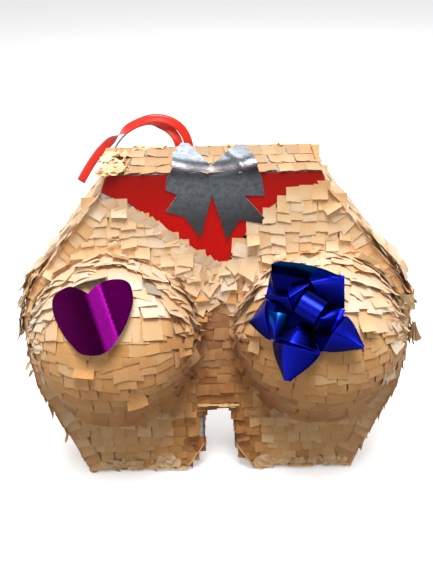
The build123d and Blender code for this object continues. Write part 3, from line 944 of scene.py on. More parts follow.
def dome_rows(surface, side, rng, spots, thin_spots):
    """A dome's rows, from the bottom up."""
    heap = new_heap()
    spacing = pi * DOME_RADIUS / DOME_ROWS
    for row in range(DOME_ROWS - 1, -2, -1):
        wave = slow_wave(rng, 1.0)
        v_row = row * spacing
        down = pi / 2 - v_row / DOME_RADIUS
        half_row = ROW_REACH * DOME_RADIUS * (max(cos(down), 0.30) if down < 0 else 1.0)
        u = -half_row + rng.uniform(0, 8)
        while u < half_row:
            width = rng.uniform(12.5, 20.0)
            v = v_row + wave(u) + rng.normal(0, 0.8)
            turned = u / half_row * ROW_REACH
            long_rows = down > LONG_ABOVE
            if row % rows_used(cos(turned) if down > 0 else 1.0, long_rows) == 0:
                crowd = 1.0 - cos(turned)
                under = max(0.0, -sin(down))
                high = np.clip(sin(down) * 2.4 - 1.10, 0.0, 1.0)
                lift = radians(rng.uniform(2.4, 4.8) + 2.6 * high * rng.random() * (1.0 - 0.8 * crowd))
                if RAISED_BAND[0] < under < RAISED_BAND[1]:
                    lift = radians(rng.uniform(24.0, 44.0))
                curl = radians(rng.gamma(2.0, 1.4 + 3.0 * high)) * (1.0 - 0.8 * crowd)
                if rng.random() < 0.02 + 0.06 * high:
                    curl = radians(rng.uniform(25.0, 65.0))
                base = 1.2 + 0.8 * crowd
                if pressed_under(surface, u, v, spots):
                    lift, curl, base = radians(3.2), 0.0, 1.0
                outer = max(0.0, turned * side)
                inner = max(0.0, -turned * side)
                # Painted light and shade: dome tops are painted paler, undersides and inner ends deeper as
                # shade, outer ends a little paler.
                warmth_and_shade = 0.62 + 0.26 * under**0.7 - 0.58 * high - 0.12 * outer * crowd + 0.45 * inner * crowd
                warmth_and_shade += rng.normal(0.0, 0.06)
                length = rng.uniform(15.5, 19.5) + (10.0 if long_rows else 0.0)
                turn = rng.normal(0.0, radians(2.0 + 5.0 * high))
                thin = SHOWS_THROUGH if pressed_under(surface, u, v, thin_spots) else 0.0
                # Painted light: squares near the domes' tops are more often painted pale.
                tint = 1.0 - (0.25 + 0.65 * high) * rng.random()
                add_square(
                    heap, surface, u, v, width + 0.5, length, rng, lift, curl, base=base, turn=turn,
                    warmth_and_shade=warmth_and_shade, tint=tint, soft=0.8 * high, thin=thin,
                )
            u += width
    return heap


def dome_heap(surface, side, seed, spots, thin_spots):
    """A dome's rows, and the loose squares and crushed bits on them."""
    rng = np.random.default_rng(seed)
    heap = dome_rows(surface, side, rng, spots, thin_spots)
    for count in range(LOOSE_ON_DOME):
        turned = side * radians(rng.uniform(46, 84)) * (1 if rng.random() < 0.6 else -1)
        down = radians(rng.uniform(-25, 75))
        if count % 3:
            turned = radians(rng.uniform(-60, 60))
            down = radians(rng.uniform(48, 100))
        u = turned * DOME_RADIUS
        v = (pi / 2 - down) * DOME_RADIUS
        if pressed_under(surface, u, v, spots):
            continue
        if count % 6 == 0:
            size = rng.uniform(12, 17)
            add_scrap(heap, surface, u, v, size, rng, base=2.2, rough=0.12, warmth_and_shade=rng.uniform(0.2, 0.5))
        else:
            # Painted shade: loose squares at the inner ends, between the domes, are painted deeper.
            tone = rng.uniform(0.05, 0.40) + (0.35 if turned * side < -0.8 else 0.0)
            add_loose(heap, surface, u, v, rng, tone, stand=2.6, spread_turn=0.35, size=(14.0, 20.0))
    return heap


def dome_direction(azimuth, elevation):
    """The direction out of a dome's middle: azimuth from the front to the right, elevation upwards."""
    az = radians(azimuth)
    el = radians(elevation)
    return np.array([sin(az) * cos(el), -cos(az) * cos(el), sin(el)])


def dome_spot(centre, azimuth, elevation):
    """A point on a dome."""
    return centre + DOME_RADIUS * dome_direction(azimuth, elevation)


HEART_AT = (-10.0, 38.5)
BOW_AT = (-15.0, 33.0)
heart_spot = (dome_spot(left_centre, *HEART_AT), 42.0)
bow_spot = (dome_spot(right_centre, *BOW_AT), 40.0)
left_thin = [(dome_spot(left_centre, 57.0, 61.0), 9.5), (dome_spot(left_centre, -44.0, 73.0), 9.5)]
right_thin = [(dome_spot(right_centre, -72.0, 30.0), 10.0)]
left_heap = dome_heap(left_dome, -1, 21, [heart_spot], left_thin)
right_heap = dome_heap(right_dome, 1, 22, [bow_spot], right_thin)
tissue_piece("tissue_left_dome", left_heap, "left_dome_tissue")
tissue_piece("tissue_right_dome", right_heap, "right_dome_tissue")

# %% [markdown]
# ## Top edge
#
# The strip along the top is narrow, so its squares were cut long and lie flat, in three rows with
# their free ends to the front. The last row to the front just passes the edge and throws a thin
# shadow on the red paper. A little newsprint shows through. The left corner is only crushed tissue.

# %% Top tissue
top_rng = np.random.default_rng(31)
top_heap = new_heap()
TOP_ROWS = ((53.0, 28.0), (26.0, 31.0), (-2.0, 32.0))
for v_row, reach in TOP_ROWS:
    wave = slow_wave(top_rng, 0.5)
    x = -top_half - 2.0 + top_rng.uniform(0, 4)
    while x < top_half + 3.0:
        width = top_rng.uniform(11.5, 14.5)
        add_square(
            top_heap, on_top, x, v_row + wave(x), width + 0.5, reach + top_rng.normal(0, 0.6), top_rng,
            radians(1.2), radians(top_rng.uniform(-1.5, 2.5)), base=0.7,
            warmth_and_shade=top_rng.normal(0.50, 0.07), tint=top_rng.uniform(0.75, 1.0),
            thin=0.5 if abs(x + 2) < 34 and top_rng.random() < 0.4 else top_rng.uniform(0.16, 0.36),
        )
        x += width
for _ in range(26):
    spot = (-top_half + top_rng.uniform(-6, 12), top_rng.uniform(20, 84))
    size = top_rng.uniform(10, 16)
    add_scrap(top_heap, on_top, *spot, size, top_rng, base=1.5, warmth_and_shade=top_rng.uniform(0, 0.35))
for _ in range(8):
    spot = (top_rng.uniform(-85, 90), top_rng.uniform(-2, 4))
    add_scrap(top_heap, on_top, *spot, top_rng.uniform(6, 10), top_rng, base=0.8, warmth_and_shade=0.2)
tissue_piece("tissue_top", top_heap, "top_tissue")

# %% [markdown]
# ## Round the hips, the soles and the leg gap
#
# On the edges the strips run across the box's depth, and the squares hang down along the outline,
# in five pieces: two sides, two soles and the gap. At the hips the squares stand further off, and
# loose squares and crushed bits lie on them.

# %% Edge tissue
CALM_ABOVE = 130.0


def edge_heap(path, seed, red=False, warm_top=0.28, warm_low=0.55, flat=False, hip_at=0.0):
    """Rows across the box's depth, down a path; hip_at is where squares stand off the most."""
    rng = np.random.default_rng(seed)
    surface, length = on_path(path)
    heap = new_heap()
    for row in range(int(length / ROW_STEP), -1, -1):
        v_row = row * ROW_STEP
        wave = slow_wave(rng, 0.6)
        u = -1.0 + rng.uniform(0, 4)
        while u < CARD_DEPTH + 2.0:
            width = rng.uniform(11.0, 14.0)
            v = v_row + wave(u) + rng.normal(0, 0.5)
            on_red = red and v < 17.0 and u < 27.0
            if not on_red:
                calm = v < CALM_ABOVE
                lift, curl = square_bend(rng, 0.5 if calm else 1.0)
                if calm:
                    lift *= 0.4
                    curl = min(curl, radians(12))
                hip = np.exp(-(((v - hip_at) / 48.0) ** 2)) if hip_at else 0.0
                lift += radians(13.0) * hip * rng.random()
                share = v / length
                warmth_and_shade = warm_top + (warm_low - warm_top) * share + rng.normal(0, 0.1)
                reach = min(rng.uniform(13.5, 16.5), length - v + 3.0)
                if flat:
                    lift, curl = radians(1.5), 0.0
                add_square(
                    heap, surface, u, v, width + 0.5, max(reach, 6.0), rng, lift, curl,
                    base=0.5 if flat else 0.8, warmth_and_shade=warmth_and_shade,
                )
            u += width
    return heap, surface


HIP_AT = 165.0
LOOSE_ON_HIP = 60
for side, name in ((-1, "left"), (1, "right")):
    down_side = path_between((side * top_half, CARD_TOP), (side * foot_outer, 0.0))
    heap, surface = edge_heap(down_side, 40 + side, red=True, hip_at=HIP_AT)
    rng = np.random.default_rng(50 + side)
    for count in range(LOOSE_ON_HIP):
        spot = (rng.uniform(-2, 46), rng.normal(160, 46))
        if count % 4 == 0:
            size = rng.uniform(13, 18)
            add_scrap(heap, surface, *spot, size, rng, base=4.0, rough=0.12, warmth_and_shade=rng.uniform(0.2, 0.5))
        else:
            warmth_and_shade = rng.uniform(0.05, 0.45)
            add_loose(heap, surface, *spot, rng, warmth_and_shade, stand=rng.uniform(4.0, 8.5), size=(14.0, 20.0))
    tissue_piece(f"tissue_{name}_side", heap, f"{name}_side_tissue")
    sole = path_between((side * foot_outer, 0.0), (side * foot_inner, 0.0))
    sole_heap = edge_heap(sole, 60 + side, flat=True, warm_top=0.5)[0]
    tissue_piece(f"tissue_{name}_foot", sole_heap, f"{name}_foot_tissue")

gap_heap = new_heap()
for side in (-1, 1):
    leg_side = path_between((side * gap_top[0], gap_top[1]), (side * foot_inner, 0.0))
    join_heap(gap_heap, edge_heap(leg_side, 70 + side, warm_top=0.6, warm_low=0.7)[0])
lintel = path_between((-gap_top[0], gap_top[1]), (gap_top[0], gap_top[1]))
join_heap(gap_heap, edge_heap(lintel, 73, flat=True, warm_top=0.7, warm_low=0.7)[0])
tissue_piece("tissue_leg_gap", gap_heap, "leg_gap_tissue")

# %% [markdown]
# ## The back and the fill flap
#
# The back has the same rows. They stop round the door that the sweets go in through, and round the
# knot. Bare paper is left at the door's fold, so the door can open without crushing tissue.

# %% Back tissue
door_low, door_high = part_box("fill_flap")
door = np.array([door_low, door_high]) / MM - SHIFT
knot = np.array(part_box("ribbon_knot")) / MM - SHIFT
FOLD_Z = frame["record"]["behaviour"]["joints"][0]["pos_m"][2] / MM - CARD_LOW
print("door from", np.round(door[0], 1), "to", np.round(door[1], 1), "fold at", round(FOLD_Z, 1))

FOLD_BARE = 7.5
DOOR_GAP = 1.5


def clear_of_fittings(x, v, width):
    """True where a square on the back covers neither the door nor the knot."""
    z_high = CARD_TOP - v + HEADER_ABOVE
    z_low = CARD_TOP - v - 15.0
    half = width / 2 + 1.5
    clear_door = x + half < door[0][0] - DOOR_GAP or x - half > door[1][0] + DOOR_GAP
    clear_door = clear_door or z_high < door[0][2] - DOOR_GAP or z_low > FOLD_Z + FOLD_BARE
    clear_knot = abs(x - (knot[0][0] + knot[1][0]) / 2) > (knot[1][0] - knot[0][0]) / 2 + half
    return clear_door and (clear_knot or z_high < knot[0][2] - 2 or z_low > knot[1][2] + 2)


back_rng = np.random.default_rng(81)
back_heap = new_heap()
for x, v, width in laid_spots(back_rng, 2.0, 1.0, (11.0, 14.0), 0.6):
    z = CARD_TOP - v - SQUARE_MIDDLE
    if distance_inside(x, z) > 1.0 and not in_band(x, z) and clear_of_fittings(x, v, width):
        lift, curl = square_bend(back_rng)
        warmth_and_shade = low_warmth(z) + back_rng.normal(0, 0.1)
        add_square(
            back_heap, on_back, x, v, width + 0.4, back_rng.uniform(13.0, 15.5), back_rng,
            lift, curl, base=0.7, warmth_and_shade=warmth_and_shade,
        )
for side in (-1, 1):
    surface, length = on_band(side, CARD_DEPTH + PAPER, 1.0)
    v = length - BAND_START
    while v > BAND_END:
        lift, curl = square_bend(back_rng, 0.6)
        add_square(
            back_heap, surface, 6.5, v, back_rng.uniform(14.5, 17.0), back_rng.uniform(14.0, 17.0),
            back_rng, lift, curl, base=1.3, warmth_and_shade=back_rng.normal(0.4, 0.08),
        )
        v -= back_rng.uniform(10.0, 12.0)
tissue_piece("tissue_back", back_heap, "back_tissue")

# %% Tissue on the fill flap
door_heap = new_heap()
flap_columns = 7
flap_width = (door[1][0] - door[0][0] - 5.0) / flap_columns
flap_top = CARD_TOP - FOLD_Z + FOLD_BARE + 4.0
flap_end = CARD_TOP - door[0][2]
flap_rows = int((flap_end - flap_top - 11.0) / ROW_STEP) + 1
for row in range(flap_rows - 1, -1, -1):
    for column in range(flap_columns):
        x = door[0][0] + 2.5 + (column + 0.5) * flap_width
        v = flap_top + row * ROW_STEP + back_rng.normal(0, 0.5)
        reach = min(back_rng.uniform(13.0, 15.0), flap_end - v - 0.8)
        lift, curl = square_bend(back_rng, 0.5)
        add_square(
            door_heap, on_back, x, v, flap_width - 0.3, reach, back_rng, lift, curl, base=0.7,
            turn=back_rng.normal(0, 0.02), warmth_and_shade=back_rng.normal(0.2, 0.1),
        )
tissue_piece("tissue_fill_flap", door_heap, "fill_flap_tissue", body="fill_flap")

# %% [markdown]
# ## Red paper
#
# The V is one piece of glossy red paper, folded round both sides of the box. It was pasted by
# hand, so it has long shallow waves that its gloss picks up. A fine grid runs from its lower edge
# to the top of the card, and goes on round the corners. Near the top it is painted deeper, as
# shade.

# %% Red paper material
def red_gloss():
    """Glossy red paper, painted darker towards the top edge as shade."""
    material, tree, shader = new_material("red_gloss_paper", rough=0.36, coat=0.06)
    shader.inputs["Specular IOR Level"].default_value = 0.25
    paper = add_group(tree, CREASED_PAPER, Crease_Scale=22.0, Fibre_Scale=420.0, Crease_Share=0.3)
    red = colour(0.82, 0.02, 0.0)
    # Painted shade: this mark darkens the red towards the card's top edge.
    base = tinted(tree, red, read(tree, "deep"), (0.0, 1.0, 0.0, 1.0), colour(0.60, 0.09, 0.05))
    drift = tinted(tree, base, paper.outputs["Drift"], (0.4, 0.7, 0.0, 0.35), colour(0.70, 0.03, 0.01))
    wire(tree, drift, shader.inputs["Base Color"])
    wire(tree, spread(tree, paper.outputs["Drift"], 0.3, 0.7, 0.22, 0.42), shader.inputs["Roughness"])
    bump(tree, shader, paper.outputs["Height"], 0.0004, 0.25)
    return material


RED = red_gloss()


# %% Red paper
RED_WRAP = 24.0
WRAP_COLUMNS = 6


def red_paper():
    """A grid from the V's lower edge to the card's top, which goes on round both corners."""
    columns = 90
    rows = 20
    points = []
    deep = []
    share = np.linspace(0.0, 1.0, columns)
    low_x = np.interp(share, [0, 1], [RED_EDGE[0, 0], RED_EDGE[-1, 0]])
    low_z = red_edge(low_x)
    high_x = np.interp(share, [0, 1], [-top_half - 0.2, top_half + 0.2])

    def wrapped(k, side, up, first, last):
        """The stretch round one corner at one height, from one depth to another."""
        x = (1 - up) * (low_x[k] + side * 0.6) + up * (high_x[k] + side * 1.0)
        z = (1 - up) * low_z[k] + up * CARD_TOP
        return [(x, back, z) for back in np.linspace(first, last, WRAP_COLUMNS)]

    for row in range(rows):
        up = row / (rows - 1)
        line = wrapped(0, -1, up, RED_WRAP, 0.6)
        for k in range(columns):
            x = (1 - up) * low_x[k] + up * high_x[k]
            z = (1 - up) * low_z[k] + up * CARD_TOP
            wave = 0.45 * sin(x / 17.0 + z / 31.0) + 0.3 * sin(x / 8.0 - z / 13.0 + 1.0)
            hold = min(1.0, k / 4, (columns - 1 - k) / 4)
            line.append((x, -PAPER - 0.35 - 0.55 * hold - 0.5 * wave * hold, z))
        line += wrapped(-1, 1, up, 0.6, RED_WRAP)
        points += line
        # Painted shade over the top 45 mm of the card.
        deep += [np.clip((p[2] - 288.0) / 45.0, 0, 1) * 0.8 for p in line]
    faces = grid_faces(rows, columns + 2 * WRAP_COLUMNS)
    piece = make_mesh("red_paper_v", points, faces, [RED], {"deep": deep})
    stand_for(piece, "red_panel")
    print("red paper", len(faces), "faces")


red_paper()

# %% [markdown]
# ## Foil card, cut with scissors
#
# The bow and the heart are cut from foil card: foil on the face, white card behind, and a thin
# pale edge all round where the cut shows. The outline is filled with a fine net of triangles, so
# the card can be bent, and then given a face, a back and an edge.

# %% Cutting a sheet
def cut_sheet(corners, spacing):
    """The net of triangles inside an outline: flat points and triangles."""
    corners = np.asarray(corners, dtype=float)
    rim = []
    for first, second in zip(corners, np.roll(corners, -1, axis=0)):
        pieces = max(1, int(np.hypot(*(second - first)) / spacing))
        rim += [first + (second - first) * k / pieces for k in range(pieces)]
    rim = np.array(rim)
    low = rim.min(0)
    high = rim.max(0)
    inner = []
    for x in np.arange(low[0], high[0], spacing):
        for y in np.arange(low[1], high[1], spacing):
            if distance_inside(x, y, rim) > spacing * 0.45:
                inner.append((x, y))
    flat = [Vector(p) for p in rim] + [Vector(p) for p in inner]
    ring = list(range(len(rim)))
    points, _, triangles = geometry.delaunay_2d_cdt(flat, [], [ring], 1, 1e-5)[:3]
    return np.array([p[:] for p in points]), [tuple(t) for t in triangles]


def foil_piece(name, flat, triangles, shape, thickness, materials, marks=None):
    """A bent card from its flat net: face, back and cut edge."""
    middle, normals = shape(flat)
    front = middle + normals * thickness / 2
    back = middle - normals * thickness / 2
    count = len(flat)
    used = {}
    for triangle in triangles:
        for first, second in zip(triangle, triangle[1:] + triangle[:1]):
            used.setdefault((min(first, second), max(first, second)), []).append((first, second))
    faces = list(triangles)
    slots = [0] * len(triangles)
    faces += [tuple(count + k for k in reversed(triangle)) for triangle in triangles]
    slots += [2] * len(triangles)
    for owners in used.values():
        if len(owners) == 1:
            first, second = owners[0]
            faces.append((2 * count + second, 2 * count + first, 3 * count + first, 3 * count + second))
            slots.append(1)
    points = np.vstack([front, back, front, back])
    spread_marks = {mark: np.tile(values, 4) for mark, values in (marks or {}).items()}
    return make_mesh(name, points, faces, materials, spread_marks, slots=slots)


# %% Foil materials
def brushed(tree, foil, share):
    """The height of a foil's brushed lines on its slow dents."""
    return maths(tree, "ADD", maths(tree, "MULTIPLY", foil.outputs["Brush"], share), foil.outputs["Dents"])


def silver_foil():
    """Silver foil card; one mark of its mesh paints a darker reflection where the foil mirrors the dark side
    of the room.
    """
    material, tree, shader = new_material("silver_foil", rough=0.34, metal=1.0)
    foil = add_group(tree, RUBBED_FOIL, Brush_Scale=260.0, Stretch=5.0, Dent_Scale=26.0)
    patch = spread(tree, foil.outputs["Rub"], 0.40, 0.62, 0.0, 1.0)
    face = mix(tree, patch, colour(0.62, 0.66, 0.70), colour(0.50, 0.53, 0.56))
    # Painted reflection: this mark darkens the foil where it mirrors dark things.
    tone = mix(tree, read(tree, "dark_reflection"), face, colour(0.36, 0.34, 0.35))
    wire(tree, tone, shader.inputs["Base Color"])
    wire(tree, spread(tree, foil.outputs["Brush"], 0.3, 0.7, 0.26, 0.46), shader.inputs["Roughness"])
    bump(tree, shader, brushed(tree, foil, 0.25), 0.0025, 0.28)
    return material


def purple_foil():
    """Purple foil card, with a painted highlight on the band between its folds and painted shade beside it.
    """
    material, tree, shader = new_material("purple_foil", rough=0.30, metal=1.0)
    foil = add_group(tree, RUBBED_FOIL, Brush_Scale=320.0, Stretch=7.0, Dent_Scale=35.0)
    patch = spread(tree, foil.outputs["Rub"], 0.40, 0.65, 0.0, 0.55)
    face = mix(tree, patch, colour(0.48, 0.03, 0.40), colour(0.38, 0.02, 0.33))
    # Painted shade on the sides past the folds, darkest on the right, and a painted highlight on the band.
    right = mix(tree, read(tree, "deep"), face, colour(0.12, 0.0, 0.10))
    band_highlight = mix(tree, read(tree, "band_highlight"), right, colour(0.54, 0.05, 0.52))
    wire(tree, band_highlight, shader.inputs["Base Color"])
    wire(tree, spread(tree, foil.outputs["Brush"], 0.3, 0.7, 0.26, 0.42), shader.inputs["Roughness"])
    bump(tree, shader, brushed(tree, foil, 0.3), 0.0015, 0.4)
    return material


def card_core(name, tone):
    """Plain card, seen at a cut edge or from behind."""
    material, tree, shader = new_material(name, rough=0.85)
    paper = add_group(tree, CREASED_PAPER, Crease_Scale=60.0, Fibre_Scale=1400.0, Crease_Share=0.1)
    darker = tuple(c * 0.82 for c in tone[:3]) + (1.0,)
    wire(tree, mix(tree, paper.outputs["Drift"], tone, darker), shader.inputs["Base Color"])
    bump(tree, shader, paper.outputs["Height"], 0.0002, 0.5)
    return material


SILVER = silver_foil()
PURPLE = purple_foil()
WHITE_CARD = card_core("white_card", colour(0.93, 0.92, 0.90))
CUT_EDGE = card_core("cut_edge", colour(0.86, 0.85, 0.84))
CARD_THICK = 0.7
print("foil card", SILVER.name, PURPLE.name, "with", CUT_EDGE.name, "and", WHITE_CARD.name)

# %% [markdown]
# ## The silver bow
#
# One cut piece makes the two loops and the two tails. Its lower half stands flat against the red
# paper, and its loops lie back over the top edge in one smooth bend. The outline is drawn as if it
# were still flat, and the bend is an arc that keeps its length. A mark paints a darker reflection
# on the tails, the bend and a little on the right, where the foil mirrors dark things.

# %% Silver bow
BOW_OUTLINE = (
    [(-39, 342), (-45, 332), (-46, 321), (-35, 316), (-47, 299), (-30, 293.5), (-14, 272), (-2.3, 315)]
    + [(11, 269.5), (24, 289), (54, 283), (28, 314), (48, 313), (45, 331), (41, 342)]
    + [(41, 345), (36, 358), (30, 373), (20, 375), (8, 356), (-3, 343)]
    + [(-9, 354), (-23.5, 380), (-31, 380), (-38.5, 360)]
)
BOW_TOP = 342.0
BOW_MIDDLE = -2.0
BOW_BEND = 15.0
BOW_LEAN = radians(75.0)
BOW_SETBACK = 0.767
BOW_FACE = -2.3


def bow_shape(flat):
    """The flat outline, bent back over the top edge, with puffed loops, a crease and curled tails."""
    x = flat[:, 0]
    d = flat[:, 1]
    beside = np.abs(x - BOW_MIDDLE)
    start = BOW_TOP - BOW_BEND * BOW_SETBACK - 1.0 + 9.0 * np.clip(beside / 46.0, 0, 1) ** 1.3
    turn = np.clip((d - start) / BOW_BEND, 0.0, BOW_LEAN)
    past = np.maximum(d - start - BOW_BEND * BOW_LEAN, 0.0)
    y = BOW_FACE + BOW_BEND * (1 - np.cos(turn)) + past * np.sin(BOW_LEAN)
    z = np.where(d < start, d, start + BOW_BEND * np.sin(turn) + past * np.cos(BOW_LEAN))
    normals = np.stack([0 * x, -np.cos(turn), np.sin(turn)], -1)
    puff = 1.9 * np.exp(-(((beside - 24) / 15) ** 2)) * np.exp(-(((d - 335) / 16) ** 2))
    crease = 0.9 * np.exp(-((((x - 33) + 0.55 * (d - 330)) / 4.0) ** 2)) * (d > 318)
    curl = 1.6 * np.clip((300 - d) / 30, 0, 1) ** 2
    points = np.stack([x, y, z], -1) + normals * (puff + crease + curl)[:, None]
    return points, normals


flat, triangles = cut_sheet(BOW_OUTLINE, 2.2)
on_tails = np.clip((318 - flat[:, 1]) / 30, 0, 1)
on_right = np.clip(flat[:, 0] / 60, 0, 1)
on_bend = np.exp(-(((flat[:, 1] - 341) / 8) ** 2))
# Painted dark reflection: strongest on the tails and the bend, a little on the right side.
bow_dark_reflection = on_tails * 0.75 + on_right * 0.2 + 0.9 * on_bend
silver_bow = foil_piece(
    "silver_foil_bow", flat, triangles, bow_shape, CARD_THICK, [SILVER, CUT_EDGE, WHITE_CARD],
    {"dark_reflection": bow_dark_reflection},
)
stand_for(silver_bow, "silver_bow")
print("silver bow", len(silver_bow.data.polygons), "faces")

# %% [markdown]
# ## The heart
#
# The heart has two straight folds, with a flat band between them. The band is painted brighter as a
# highlight, and the sides beside it are painted darker as shade, the right side most. It lies
# against the left dome, so its outline is drawn on the plane that touches the dome there, and its
# two sides bend back over the ball.


# %% Purple heart
def dome_plane(centre, azimuth, elevation, radius):
    """The plane that touches a dome: its middle, and its right, up and outward directions."""
    out = dome_direction(azimuth, elevation)
    right = np.array([cos(radians(azimuth)), sin(radians(azimuth)), 0.0])
    return centre + out * radius, right, np.cross(out, right), out


def smooth_loop(points, steps=9):
    """A rounded closed line through some points; a corner is a point given twice."""
    points = np.asarray(points, dtype=float)
    line = []
    count = len(points)
    for k in range(count):
        p0, p1, p2, p3 = (points[(k + j - 1) % count] for j in range(4))
        if np.allclose(p1, p2):
            continue
        start = p1 if np.allclose(p0, p1) else p0
        end = p2 if np.allclose(p2, p3) else p3
        for t in np.linspace(0, 1, steps, endpoint=False):
            a = 2 * p1
            b = (p2 - start) * t
            c = (2 * start - 5 * p1 + 4 * p2 - end) * t**2
            d = (-start + 3 * p1 - 3 * p2 + end) * t**3
            line.append((a + b + c + d) / 2)
    return np.array(line)


HEART = smooth_loop(
    [(-5, 20), (-5, 20), (1, 27), (8, 32), (17, 35.5), (25, 36), (31.5, 33), (35.5, 24), (37, 14.5)]
    + [(36, 4), (33, -9), (28, -21), (22, -31), (13, -36.5), (3, -37.5), (-7.5, -36), (-17, -29)]
    + [(-26.5, -20), (-36, -7), (-40.5, 2), (-42.5, 10.5), (-41, 17), (-35, 22), (-25, 26), (-15, 24)],
    steps=4,
)
LEFT_FOLD = ((-7, 20), (19, -34))
RIGHT_FOLD = ((1, 34), (27, -20))
LEFT_FOLD_ANGLE = radians(10)
RIGHT_FOLD_ANGLE = radians(9)
HEART_CURVE = 260
heart_place = dome_plane(left_centre, *HEART_AT, DOME_RADIUS + 8.6)


def past_fold(flat, fold, side):
    """How far each point is past a fold line, on one side of it."""
    start = np.array(fold[0], dtype=float)
    along = unit(np.array(fold[1], dtype=float) - start)
    across = np.array([-along[1], along[0]]) * side
    return np.maximum((flat - start) @ across, 0.0)


def heart_shape(flat):
    """The flat heart on its plane, with both sides bent back past their folds."""
    origin, right, up, out = heart_place
    left_back = past_fold(flat, LEFT_FOLD, -1)
    right_back = past_fold(flat, RIGHT_FOLD, 1)
    depth = -left_back * np.tan(LEFT_FOLD_ANGLE) - right_back * np.tan(RIGHT_FOLD_ANGLE)
    depth -= left_back**2 / HEART_CURVE + right_back**2 / HEART_CURVE
    points = origin + flat[:, :1] * right + flat[:, 1:] * up + depth[:, None] * out
    return points, np.broadcast_to(out, points.shape)


flat, triangles = cut_sheet(HEART, 2.4)
past_left = past_fold(flat, LEFT_FOLD, -1)
past_right = past_fold(flat, RIGHT_FOLD, 1)
# Masks for the painted highlight on the band and the painted shade past the folds.
heart_band_highlight = np.clip(1.0 - (past_left + past_right) / 1.5, 0, 1)
heart_painted_shade = np.clip(past_right, 0, 1) + 0.72 * np.clip(past_left, 0, 1)
heart = foil_piece(
    "purple_foil_heart", flat, triangles, heart_shape, CARD_THICK, [PURPLE, CUT_EDGE, WHITE_CARD],
    {"band_highlight": heart_band_highlight, "deep": heart_painted_shade},
)
stand_for(heart, "purple_heart")
print("heart", len(heart.data.polygons), "faces")

# %% [markdown]
# ## The star bow
#
# A star bow is one long foil ribbon, looped round a card disc and stapled. Each loop twists as it
# turns back, and that draws it out into a pointed cone: flat underneath, arched on top, and open
# towards the middle. Four large cones lie at the bottom, with one loop that shows its inside at
# the back, five small cones stand up on them, and a plain roll closes the middle. Each cone is a
# thin sheet, so one looks into it. One mark (deep) paints its shade on floors, flanks, insides,
# the hub and the lower loops, with a lighter painted glint at each mouth's rim, and a second mark
# paints a blue-green reflection of the pale surroundings.

# %% Blue foil
def blue_foil():
    """Blue foil ribbon, with painted shade and a painted blue-green reflection from the marks of its mesh."""
    material, tree, shader = new_material("blue_foil_ribbon", rough=0.24, metal=1.0)
    foil = add_group(tree, RUBBED_FOIL, Brush_Scale=300.0, Stretch=3.0, Dent_Scale=45.0)
    blue = colour(0.14, 0.19, 1.00)
    face = tinted(tree, blue, foil.outputs["Rub"], (0.4, 0.65, 0.0, 0.4), colour(0.11, 0.15, 0.90))
    # Painted shade from the deep mark, then a painted blue-green reflection from the second mark.
    tone = mix(tree, read(tree, "deep"), face, colour(0.002, 0.008, 0.10))
    painted_teal = mix(tree, read(tree, "painted_teal"), tone, colour(0.02, 0.33, 0.55))
    wire(tree, painted_teal, shader.inputs["Base Color"])
    wire(tree, spread(tree, foil.outputs["Brush"], 0.3, 0.7, 0.20, 0.30), shader.inputs["Roughness"])
    bump(tree, shader, foil.outputs["Dents"], 0.0015, 0.12)
    return material


BLUE = blue_foil()
bow_place = dome_plane(right_centre, *BOW_AT, DOME_RADIUS + 6.0)


def new_foil():
    """What one set of loops is gathered in."""
    return {"points": [], "faces": [], "deep": [], "painted_teal": [], "count": 0}


def add_foil(foil, points, faces, deep, painted_teal=0.0):
    """Adds a sheet drawn on the bow's own plane: right, up and out."""
    origin, right, up, out = bow_place
    points = np.asarray(points).reshape(-1, 3)
    placed = origin + points[:, :1] * right + points[:, 1:2] * up + points[:, 2:] * out
    foil["points"].append(placed)
    foil["faces"] += [tuple(foil["count"] + k for k in face) for face in faces]
    foil["deep"].append(np.broadcast_to(deep, (len(points),)))
    foil["painted_teal"].append(np.broadcast_to(painted_teal, (len(points),)))
    foil["count"] += len(points)


POCKET_ROWS = 14
FLOOR_COLUMNS = 9
ARCH_COLUMNS = 21


def pocket_strip(foil, mouth, base, deep, painted_teal):
    """The ribbon's stretch from the bow's middle to the mouth of a loop."""
    (ax, ay), (bx, by) = mouth
    strip = []
    for t in np.linspace(0.0, 1.0, 6):
        for q in (0.0, 0.5, 1.0):
            x = (ax + (bx - ax) * q) * (0.12 + 0.88 * t)
            y = (ay + (by - ay) * q) * (0.12 + 0.88 * t)
            strip.append((x, y, base * (0.3 + 0.7 * t) + 0.3))
    # Painted shade: the stretch under a loop is darker.
    add_foil(foil, strip, grid_faces(6, 3), min(1.0, deep + 0.5), painted_teal * 0.5)


